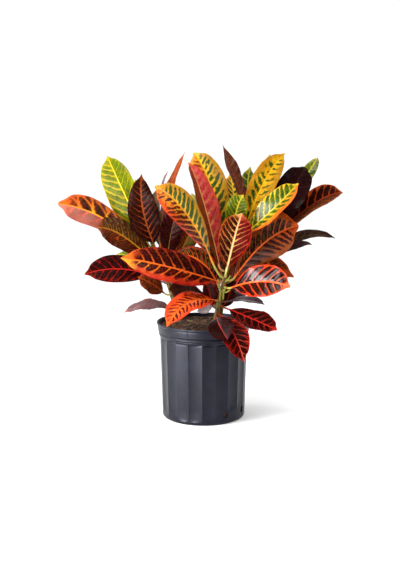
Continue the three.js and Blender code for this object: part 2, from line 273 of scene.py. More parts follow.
class Signal:
    """What a node gives, a number or a colour, with the sums that the finishes need."""

    __add__ = math_method("ADD")
    __sub__ = math_method("SUBTRACT")
    __rsub__ = math_method("SUBTRACT", swapped=True)
    __mul__ = math_method("MULTIPLY")
    __truediv__ = math_method("DIVIDE")
    __pow__ = math_method("POWER")
    __abs__ = math_method("ABSOLUTE")
    at_least = math_method("MAXIMUM")
    at_most = math_method("MINIMUM")
    fraction = math_method("FRACT")

    def __init__(self, tree: "Tree", socket: bpy.types.NodeSocket) -> None:
        """Holds an output together with the tree that its node is in."""
        self.tree, self.socket = tree, socket

    def clamped(self) -> "Signal":
        """The same, kept from 0 to 1."""
        self.socket.node.use_clamp = True
        return self

    def step(self, low: object, high: object) -> "Signal":
        """A smooth step, 0 at low and 1 at high.

        Args:
            low: a number or a signal.
            high: a number or a signal, which may be the lower one.

        Returns:
            The step.
        """
        node = self.tree.nodes.new("ShaderNodeMapRange")
        node.interpolation_type = "SMOOTHSTEP"
        for name, given in (("Value", self), ("From Min", low), ("From Max", high)):
            self.tree.put(node.inputs[name], given)
        return Signal(self.tree, node.outputs["Result"])


class Tree:
    """Wires up the shader nodes of one finish."""

    def __init__(self, name: str) -> None:
        """Starts an empty material.

        Args:
            name: the material's name.
        """
        self.material = bpy.data.materials.new(name)
        self.material.use_nodes = True
        self.nodes = self.material.node_tree.nodes
        self.links = self.material.node_tree.links
        self.nodes.clear()

    def put(self, socket: bpy.types.NodeSocket, value: object) -> None:
        """Fills an input.

        Args:
            socket: the input.
            value: a signal to link it to, a pigment, or a plain value.
        """
        if isinstance(value, Signal):
            self.links.new(value.socket, socket)
        else:
            socket.default_value = value.linear() if isinstance(value, Pigment) else value

    def value(self, name: str) -> Signal:
        """Reads a value that the mesh holds for each vertex.

        Args:
            name: the name that the mesh has it under.

        Returns:
            The value.
        """
        node = self.nodes.new("ShaderNodeAttribute")
        node.attribute_name = name
        return Signal(self, node.outputs["Fac"])

    def math(self, operation: str, *values: object) -> Signal:
        """One sum.

        Args:
            operation: the node's operation, such as MULTIPLY.
            values: numbers and signals, in the order of its inputs.

        Returns:
            The result.
        """
        node = self.nodes.new("ShaderNodeMath")
        node.operation = operation
        for socket, value in zip(node.inputs, values):
            self.put(socket, value)
        return Signal(self, node.outputs[0])

    def blend(self, share: object, first: object, second: object, mode: str = "MIX") -> Signal:
        """Mixes two colours.

        Args:
            share: how much of the second colour, from 0 to 1.
            first: a pigment or a signal.
            second: a pigment or a signal.
            mode: the blend type.

        Returns:
            The mixed colour.
        """
        node = self.nodes.new("ShaderNodeMix")
        node.data_type = "RGBA"
        node.blend_type = mode
        for name, given in (("Factor", share), ("A", first), ("B", second)):
            self.put(node.inputs[name], given)
        return Signal(self, node.outputs["Result"])

    def between(self, share: Signal, first: float, second: float) -> Signal:
        """A number that goes from first to second as share goes from 0 to 1."""
        return share * (second - first) + first

    def noise(self, size_mm: float, detail: float = 2.0, seed: float = 0.0) -> Signal:
        """Noise about the middle value 0.5.

        Args:
            size_mm: how large its blots are.
            detail: how many finer layers it has.
            seed: moves it to another place.

        Returns:
            The noise.
        """
        place = self.nodes.new("ShaderNodeTexCoord").outputs["Object"]
        if seed:
            shifted = self.nodes.new("ShaderNodeVectorMath")
            shifted.operation = "ADD"
            shifted.inputs[1].default_value = (seed * 1.7, seed * 0.9, seed * 1.3)
            self.links.new(place, shifted.inputs[0])
            place = shifted.outputs[0]
        node = self.nodes.new("ShaderNodeTexNoise")
        node.inputs["Scale"].default_value = 1 / (size_mm * MM)
        node.inputs["Detail"].default_value = detail
        self.links.new(place, node.inputs["Vector"])
        return Signal(self, node.outputs["Fac"])

    def bump(self, height: Signal, depth_mm: float, below: Optional[Signal] = None) -> Signal:
        """Turns a height from 0 to 1 into a surface normal.

        Args:
            height: the height.
            depth_mm: what the height 1 means.
            below: a normal to build on.

        Returns:
            The normal.
        """
        node = self.nodes.new("ShaderNodeBump")
        node.inputs["Distance"].default_value = depth_mm * MM
        self.put(node.inputs["Height"], height)
        if below is not None:
            self.put(node.inputs["Normal"], below)
        return Signal(self, node.outputs["Normal"])

    def surface(self, colour: Signal, **inputs: object) -> bpy.types.Material:
        """Ends the tree in its shader.

        Args:
            colour: the base colour.
            inputs: what goes into the shader's other inputs, by name, with _ for a space.

        Returns:
            The finished material.
        """
        shader = self.nodes.new("ShaderNodeBsdfPrincipled")
        self.put(shader.inputs["Base Color"], colour)
        for name, value in inputs.items():
            self.put(shader.inputs[name.replace("_", " ")], value)
        out = self.nodes.new("ShaderNodeOutputMaterial")
        self.links.new(shader.outputs[0], out.inputs[0])
        return self.material


# Lines that the plant grows along, in millimetres


def bend_through(points: np.ndarray, shares: np.ndarray) -> np.ndarray:
    """A smooth centripetal curve through points.

    Args:
        points: the points, one row each.
        shares: how far along, from 0 to 1.

    Returns:
        One row for each share.
    """
    ends = np.vstack([2 * points[0] - points[1], points, 2 * points[-1] - points[-2]])
    run = np.asarray(shares, dtype=float) * (len(points) - 1)
    first = np.minimum(run.astype(int), len(points) - 2)
    t = (run - first)[:, None]
    a, b, c, d = (ends[first + k] for k in range(4))
    gap = [np.linalg.norm(q - p, axis=1, keepdims=True) ** 0.5 for p, q in ((a, b), (b, c), (c, d))]
    leave = ((b - a) / gap[0] - (c - a) / (gap[0] + gap[1]) + (c - b) / gap[1]) * gap[1]
    arrive = ((c - b) / gap[1] - (d - b) / (gap[1] + gap[2]) + (d - c) / gap[2]) * gap[1]
    return b + leave * t + (3 * (c - b) - 2 * leave - arrive) * t**2 + (2 * (b - c) + leave + arrive) * t**3


def bow(start: np.ndarray, pull: np.ndarray, end: np.ndarray, shares: np.ndarray) -> np.ndarray:
    """A curve from start to end that is drawn towards pull."""
    t = np.asarray(shares, dtype=float).reshape(-1, 1)
    return (1 - t) ** 2 * start + 2 * t * (1 - t) * pull + t**2 * end


def bow_way(start: np.ndarray, pull: np.ndarray, end: np.ndarray, shares: np.ndarray) -> np.ndarray:
    """The direction of that curve."""
    t = np.asarray(shares, dtype=float).reshape(-1, 1)
    return unit((1 - t) * (pull - start) + t * (end - pull))


# The stems


@dataclass(frozen=True)
class BarkFinish:
    """Young bark: bronze near the soil, olive further up, green at the tip, with dark leaf scars."""

    def material(self) -> bpy.types.Material:
        """Mixes the bark's colours by height, streak, scar and stub.

        Returns:
            The bark's material.
        """
        tree = Tree("bark")
        rise, blots, grain = tree.value("rise"), tree.noise(9, 4), tree.noise(1.6, 3, 3.0)
        wood = tree.blend(blots.step(0.4, 0.6), Pigment.OLIVE, Pigment.UMBER)
        # Pale streaks: partly the bark's own, partly a painted highlight along the stem.
        wood = tree.blend((tree.value("streak") + blots).step(1.0, 1.5) * 0.3, wood, Pigment.WILLOW)
        wood = tree.blend(rise.step(0.34, 0.2) * 0.7, wood, Pigment.BRONZE)
        green = tree.blend(grain.step(0.4, 0.7), Pigment.GRASS, Pigment.LIME)
        wood = tree.blend(rise.step(0.55, 1.0), wood, green)
        colour = tree.blend(tree.value("scar") * 0.8, wood, Pigment.UMBER)
        colour = tree.blend(grain.step(0.5, 0.8) * 0.3, colour, Pigment.TAN)
        colour = tree.blend(tree.value("stub"), colour, tree.blend(grain, Pigment.WILLOW, Pigment.LIME))
        rough = tree.between(grain, 0.5, 0.8)
        return tree.surface(colour, Roughness=rough, Normal=tree.bump(grain, 0.5), Specular_IOR_Level=0.15)


@dataclass
class Stem:
    """One upright stem, along a line from its buried foot to its growing tip, in millimetres."""

    name: str
    line: Sequence[Point]
    radii: tuple[float, float]
    stubs: Sequence[tuple[Point, Point, Point]] = ()
    scar_every: float = 13.0
    scar_rise: float = 0.28
    bud: float = 14.0
    stub_radius: float = 2.0
    rings: int = 150
    sides: int = 28

    BUD_STEPS = (0.25, 0.5, 0.75, 0.92, 1.0)
    HALVINGS = 20
    NUDGE = 1e-4
    STUB_RINGS = 9
    STUB_SIDES = 12

    def at(self, height: float) -> tuple[np.ndarray, np.ndarray, float]:
        """Where the stem's centre passes a height.

        Args:
            height: the height in millimetres.

        Returns:
            The centre, the direction and the radius there.
        """
        low, high = 0.0, 1.0
        points = np.array(self.line, dtype=float)
        for _ in range(self.HALVINGS):
            middle = (low + high) / 2
            if bend_through(points, np.array([middle]))[0, 2] < height:
                low = middle
            else:
                high = middle
        around = np.array([low - self.NUDGE, low, low + self.NUDGE])
        before, centre, after = bend_through(points, around)
        radius = self.radii[0] + (self.radii[1] - self.radii[0]) * low
        return centre, unit(after - before), radius

    def spine(self) -> tuple[np.ndarray, ...]:
        """The stem's middle line, with the bud on its end.

        Returns:
            Centres, directions, lengths from the foot, radii and shares of the way up, one row per ring.
        """
        shares = np.linspace(0, 1, self.rings)
        centres = bend_through(np.array(self.line, dtype=float), shares)
        ways = unit(np.gradient(centres, axis=0))
        lengths = np.append(0, np.cumsum(np.linalg.norm(np.diff(centres, axis=0), axis=1)))
        radii = self.radii[0] + (self.radii[1] - self.radii[0]) * shares
        tip = np.array(self.BUD_STEPS)
        return (
            np.vstack([centres, centres[-1] + ways[-1] * tip[:, None] * self.bud]),
            np.vstack([ways, np.repeat(ways[-1:], len(tip), axis=0)]),
            np.append(lengths, lengths[-1] + tip * self.bud),
            np.append(radii, radii[-1] * (1 - tip) ** 0.7 + 0.5 * tip),
            np.append(shares, np.ones(len(tip))),
        )

    def stub(self, ends: tuple[Point, Point, Point]) -> Shape:
        """What is left of an old stalk.

        Args:
            ends: its foot, its bend and its end.

        Returns:
            Its points and faces.
        """
        share = np.linspace(0, 1, self.STUB_RINGS)
        line = bow(*np.array(ends, dtype=float), share)
        return twig(line, self.stub_radius - 0.7 * share**3, self.STUB_SIDES)

    def build(self) -> bpy.types.Object:
        """Makes the stem with its leaf scars, bud and stubs.

        Returns:
            The stem's object.
        """
        centres, ways, lengths, radii, shares = self.spine()
        turn, long = round_turn(self.sides), lengths[:, None]
        scar = np.exp(-(((long % self.scar_every) - self.scar_every / 2) ** 2) / 1.1)
        scar = scar * (0.55 + 0.45 * np.sin(turn + long * 0.19))
        lump = 0.25 * np.sin(3 * turn + long * 0.11) + 0.2 * np.sin(long * 0.23 + turn)
        raised = self.scar_rise * scar * ease(1.5, 3, radii)[:, None]
        around = radii[:, None] * (0.985 + 0.015 * lump) + raised
        # Pale streaks round the stem, which also stand for its highlights.
        streak = 0.5 + 0.5 * np.sin(4 * turn + 1.5 * np.sin(long * 0.05))
        side = unit(np.cross([0.0, 1.0, 0.0], ways))
        surface = (centres[:, None] + around[..., None] * hoops(side, ways, turn)).reshape(-1, 3)
        bark = (surface, tube_faces(len(centres), self.sides))
        points, faces = joined([bark, *map(self.stub, self.stubs)])
        mesh = smooth_mesh(f"woody_{self.name}", points, faces)
        values = {"rise": np.repeat(shares, self.sides), "scar": scar, "streak": streak, "stub": 0 * scar}
        for name, numbers in values.items():
            on_stubs = np.full(len(points) - len(surface), float(name == "stub"))
            lay_values(mesh, **{name: np.append(numbers, on_stubs)})
        made = piece(mesh, "bark", f"stem_{self.name}")
        LOG.info("%s: %d scars", made.name, int(lengths[-1] / self.scar_every))
        return made


# The leaves


@dataclass(frozen=True)
class Dress:
    """The colours of one leaf. Pairs are its left and right half, seen from above with the tip away.

    Attributes:
        ribs: the ribs' colour near the stalk.
        tips: their colour near the tip, which the tip itself has too.
        edges: the margin's colour.
        cells: the colour between the ribs.
        hearts: the streak inside a cell.
        midrib: the midrib's colour.
        stalk: the stalk's colour.
        count: how many cells a half has.
        band: how much of their spacing the ribs take.
        fork: where the ribs fork, between the midrib, 0, and the margin, 1.
        fade: where they end, on the same scale.
        close: where they have widened until no cell is left, on the same scale.
        cover: how much of the half has cells at all.
        clearing: how much the cells thin out towards the tip.
        rim_mm: how wide the margin is.
        midrib_mm: how far the midrib reaches to each side.
        heart: how strong the streaks are.
        specks: how strong the small dark spots are.
        freckles: how strong the small bright spots are.
        gloss: the surface's roughness.
        shine: how much light the surface mirrors.
        wild: how far the ribs stray.
        tip: where the tip's colour starts, between the stalk, 0, and the tip, 1.
    """

    ribs: tuple[Pigment, Pigment] = (Pigment.TANGERINE, Pigment.TANGERINE)
    tips: tuple[Pigment, Pigment] = (Pigment.TANGERINE, Pigment.TANGERINE)
    edges: tuple[Pigment, Pigment] = (Pigment.VERMILION, Pigment.VERMILION)
    cells: tuple[Pigment, Pigment] = (Pigment.INK, Pigment.INK)
    hearts: tuple[Pigment, Pigment] = (Pigment.MAROON, Pigment.MAROON)
    midrib: Pigment = Pigment.TANGERINE
    stalk: Pigment = Pigment.TAN
    count: float = 10
    band: tuple[float, float] = (0.13, 0.13)
    fork: tuple[float, float] = (0.6, 0.6)
    fade: float = 1.3
    close: tuple[float, float] = (1.25, 1.25)
    cover: tuple[float, float] = (1.0, 1.0)
    clearing: float = 0.0
    rim_mm: tuple[float, float] = (1.5, 1.5)
    midrib_mm: float = 1.5
    heart: float = 0.5
    specks: float = 0.0
    freckles: float = 0.3
    gloss: float = 0.24
    shine: float = 0.1
    wild: float = 0.35
    tip: float = 0.92


class LeafFinish:
    """Paints a leaf: dark cells between ribs that leave the midrib and fork towards the margin."""

    # Multiplies the colour for the dull clouds and for the painted shade near the stalk.
    DULL_AND_SHADE = (0.5, 0.32, 0.26, 1)

    def __init__(self, name: str, dress: Dress, seed: float) -> None:
        """Reads the leaf's values and lays the noises and the rows that its parts share.

        Args:
            name: the material's name.
            dress: the leaf's colours.
            seed: moves the noises and the rows to a place of the leaf's own.
        """
        tree = Tree(name)
        self.tree, self.dress, self.seed = tree, dress, seed
        side = tree.value("side")
        self.along, self.reach, self.under = tree.value("along"), tree.value("reach"), tree.value("under")
        self.right = side.step(-0.03, 0.03)
        self.edge = abs(side)
        self.wander = tree.noise(13, 2, seed) - 0.5
        self.shiver = tree.noise(3.6, 2, seed + 4) - 0.5
        self.mottle = tree.noise(6, 4, seed + 2)
        stray = self.wander * (0.75 * dress.wild) + self.shiver * (0.25 * dress.wild)
        self.phase = tree.value("rows") * dress.count + seed + stray + self.right * HALVES_APART
        self.apart = 0.5 - self.from_half(self.phase)
        self.outer = (self.edge + self.wander).step(0.2, 0.8)

    def from_half(self, rows: Signal) -> Signal:
        """How far a count of rows is from the next half: 0.5 on a rib, 0 in the middle of a cell."""
        return abs(rows.fraction() - 0.5)

    def halves(self, pair: tuple) -> Signal:
        """A pair of pigments or numbers, laid left and right of the midrib."""
        mixed = self.tree.blend if isinstance(pair[0], Pigment) else self.tree.between
        return mixed(self.right, *pair)

    def spots(self, size_mm: float, seed: float, low: float, high: float) -> Signal:
        """Small spots, which begin where the noise is low and are full where it is high."""
        return self.tree.noise(size_mm, 3, self.seed + seed).step(low, high)

    def ribs(self) -> Signal:
        """Where the ribs are, between the midrib and the margin.

        Returns:
            1 on a rib, 0 in a cell, and a little more than 0 beside a rib.
        """
        dress = self.dress
        unsteady = self.edge + self.wander * (0.35 + 0.3 * dress.wild)
        left = unsteady.step(dress.fade, dress.fade - 0.2)
        taper = self.edge**4 * 0.4 + (1 - self.edge).clamped() ** 5 * 0.8 + 0.7
        width = self.halves(dress.band) * 0.5 * taper * (self.wander * 2.2 + 1.0) * left
        width = width + (unsteady.at_least(0.0) / self.halves(dress.close)) ** 6 * 0.5
        beyond = (unsteady - self.halves(dress.fork)).clamped()
        arm = abs(self.apart - beyond * 0.62)
        soft = left * 0.035 + 0.002
        there = arm.step(width + soft, width - soft)
        halo = arm.step(width + 0.16, width) * 0.28
        return there.at_least(halo) * (left * 4).at_most(1.0)

    def bright(self) -> Signal:
        """Where the ribs' colour is.

        Returns:
            1 on the ribs, beside the midrib and on the patches that have no cells, 0 in a cell.
        """
        dress = self.dress
        flank = (self.reach + self.wander * 2.0).step(dress.midrib_mm + 0.9, dress.midrib_mm - 0.3)
        patches = self.tree.noise(17, 1, self.seed + 9) + self.along * dress.clearing
        sown = self.halves(dress.cover) * 0.46 + (0.29 + 0.5 * dress.clearing)
        return flank.at_least(self.ribs()).at_least((patches - sown).step(-0.04, 0.04))

    def pattern(self, bright: Signal) -> Signal:
        """The colours of ribs, cells and margin.

        Args:
            bright: where the ribs' colour is.

        Returns:
            The colour.
        """
        tree, dress = self.tree, self.dress
        tips, edges, cells = self.halves(dress.tips), self.halves(dress.edges), self.halves(dress.cells)
        far = (self.along + self.wander * 0.5).step(0.4, 0.95)
        ribs = tree.blend(self.outer * 0.85, tree.blend(far, self.halves(dress.ribs), tips), edges)
        streak = self.apart.step(0.2, 0.42) * self.mottle.step(0.42, 0.56)
        inner = tree.blend(streak * dress.heart, cells, self.halves(dress.hearts))
        freckles = self.spots(3, 15, 0.57, 0.68) * dress.freckles
        inner = tree.blend(freckles * self.outer, inner, ribs)
        rim = self.halves(dress.rim_mm)
        margin = (tree.value("rim") + self.wander * 6.0 + self.shiver * 4.0).step(rim + 1.0, rim - 1.0)
        tipped = (self.along + self.wander * 0.2).step(dress.tip - 0.1, dress.tip + 0.05)
        outline = tree.blend(tipped, edges, tips)
        colour = tree.blend(margin.at_least(tipped), tree.blend(bright, inner, ribs), outline)
        return tree.blend(self.spots(2.6, 7, 0.56, 0.64) * dress.specks, colour, cells)

    def dulled_and_shaded(self, colour: Signal) -> Signal:
        """The colour with dull clouds at random, and painted shade that darkens the blade towards its stalk.

        Args:
            colour: the leaf's own colour.

        Returns:
            The colour, duller in clouds and shaded towards the stalk.
        """
        tree = self.tree
        cloud = tree.noise(34, 2, self.seed + 12).step(0.42, 0.66) * 0.35
        # Painted shade: the blade darkens towards its stalk.
        base = (self.along + self.wander).step(0.42, 0.02) * 0.65
        dull_and_shade = (cloud + base + self.mottle.step(0.48, 0.72) * 0.35).clamped()
        return tree.blend(dull_and_shade, colour, tree.blend(1.0, colour, self.DULL_AND_SHADE, "MULTIPLY"))

    def spined(self, colour: Signal) -> Signal:
        """The colour with the midrib on it, the dull underside and the stalk.

        Args:
            colour: the blade's colour.

        Returns:
            The whole leaf's colour.
        """
        tree, dress = self.tree, self.dress
        thin = tree.between(self.along.step(1.0, 0.0), 0.3 * dress.midrib_mm, dress.midrib_mm)
        spine = (self.reach + self.shiver * 0.8).step(thin + 0.4, thin - 0.4)
        colour = tree.blend(spine, colour, dress.midrib)
        colour = tree.blend(self.under, colour, tree.blend(0.55, colour, Pigment.PLUM))
        return tree.blend(self.along.step(0.02, -0.06), colour, dress.stalk)

    def material(self) -> bpy.types.Material:
        """Puts the colours, the fine relief and the gloss together.

        Returns:
            The leaf's material.
        """
        tree, dress = self.tree, self.dress
        bright = self.bright()
        colour = self.spined(self.dulled_and_shaded(self.pattern(bright)))
        rough = self.mottle * 0.2 + self.under * 0.2 + (dress.gloss - 0.1)
        veins = self.from_half(self.phase * 4) + tree.noise(1.3, 3, self.seed) * 0.5
        normal = tree.bump(veins, 0.16, tree.bump(bright, 0.12))
        return tree.surface(colour, Roughness=rough, Normal=normal, Specular_IOR_Level=dress.shine)


PAIRED = ("ribs", "tips", "edges", "cells", "hearts", "band", "fork", "close", "cover", "rim_mm")


def dressed(base: Dress, **changes: object) -> Dress:
    """A dress with some fields changed.

    Args:
        base: the dress to start from.
        changes: the new values by field, where a single one stands for both halves.

    Returns:
        The new dress.
    """
    for name, value in changes.items():
        if name in PAIRED and not isinstance(value, tuple):
            changes[name] = (value, value)
    return replace(base, **changes)


P = Pigment
DARK = dressed(
    Dress(), ribs=P.CRIMSON, tips=P.VERMILION, edges=P.MAROON, midrib=P.CRIMSON, stalk=P.BRONZE, band=0.1,
    rim_mm=0.3, midrib_mm=1.0, fade=1.0, shine=0.03,
)
# A leaf seen at a grazing angle, painted in the grey of the sheen that it mirrors, with plum streaks.
GREY_SHEENED = dressed(
    DARK, ribs=P.SHEEN_GREY, tips=P.SHEEN_GREY, cells=P.SHEEN_GREY, hearts=P.PLUM, edges=P.SHEEN_GREY, midrib=P.SHEEN_GREY,
    shine=0.3, freckles=0.0,
)
RED = dressed(Dress(), rim_mm=2.5, midrib_mm=1.7, count=9)
GOLDEN = dressed(
    Dress(), ribs=P.GOLD, tips=P.GOLD, edges=P.AMBER, cells=P.BOTTLE, hearts=P.GRASS, midrib=P.GOLD,
    band=0.4, fork=1.2, cover=0.9, count=12, heart=0.8, rim_mm=4, specks=0.2, shine=0.3, wild=0.5,
)
BROWN = dressed(
    Dress(), ribs=P.RUST, tips=P.RUST, edges=P.UMBER, cells=P.UMBER, hearts=P.BRONZE, midrib=P.RUST,
    stalk=P.OLIVE, band=0.1, rim_mm=0.6, midrib_mm=1.2, heart=0.6, fade=1.0,
)
GREEN = dressed(
    Dress(), ribs=P.LIME, tips=(P.LEMON, P.LIME), edges=P.LIME, cells=P.GRASS, hearts=P.LIME,
    midrib=P.LEMON, stalk=P.LIME, band=0.16, rim_mm=1, shine=0.3,
)

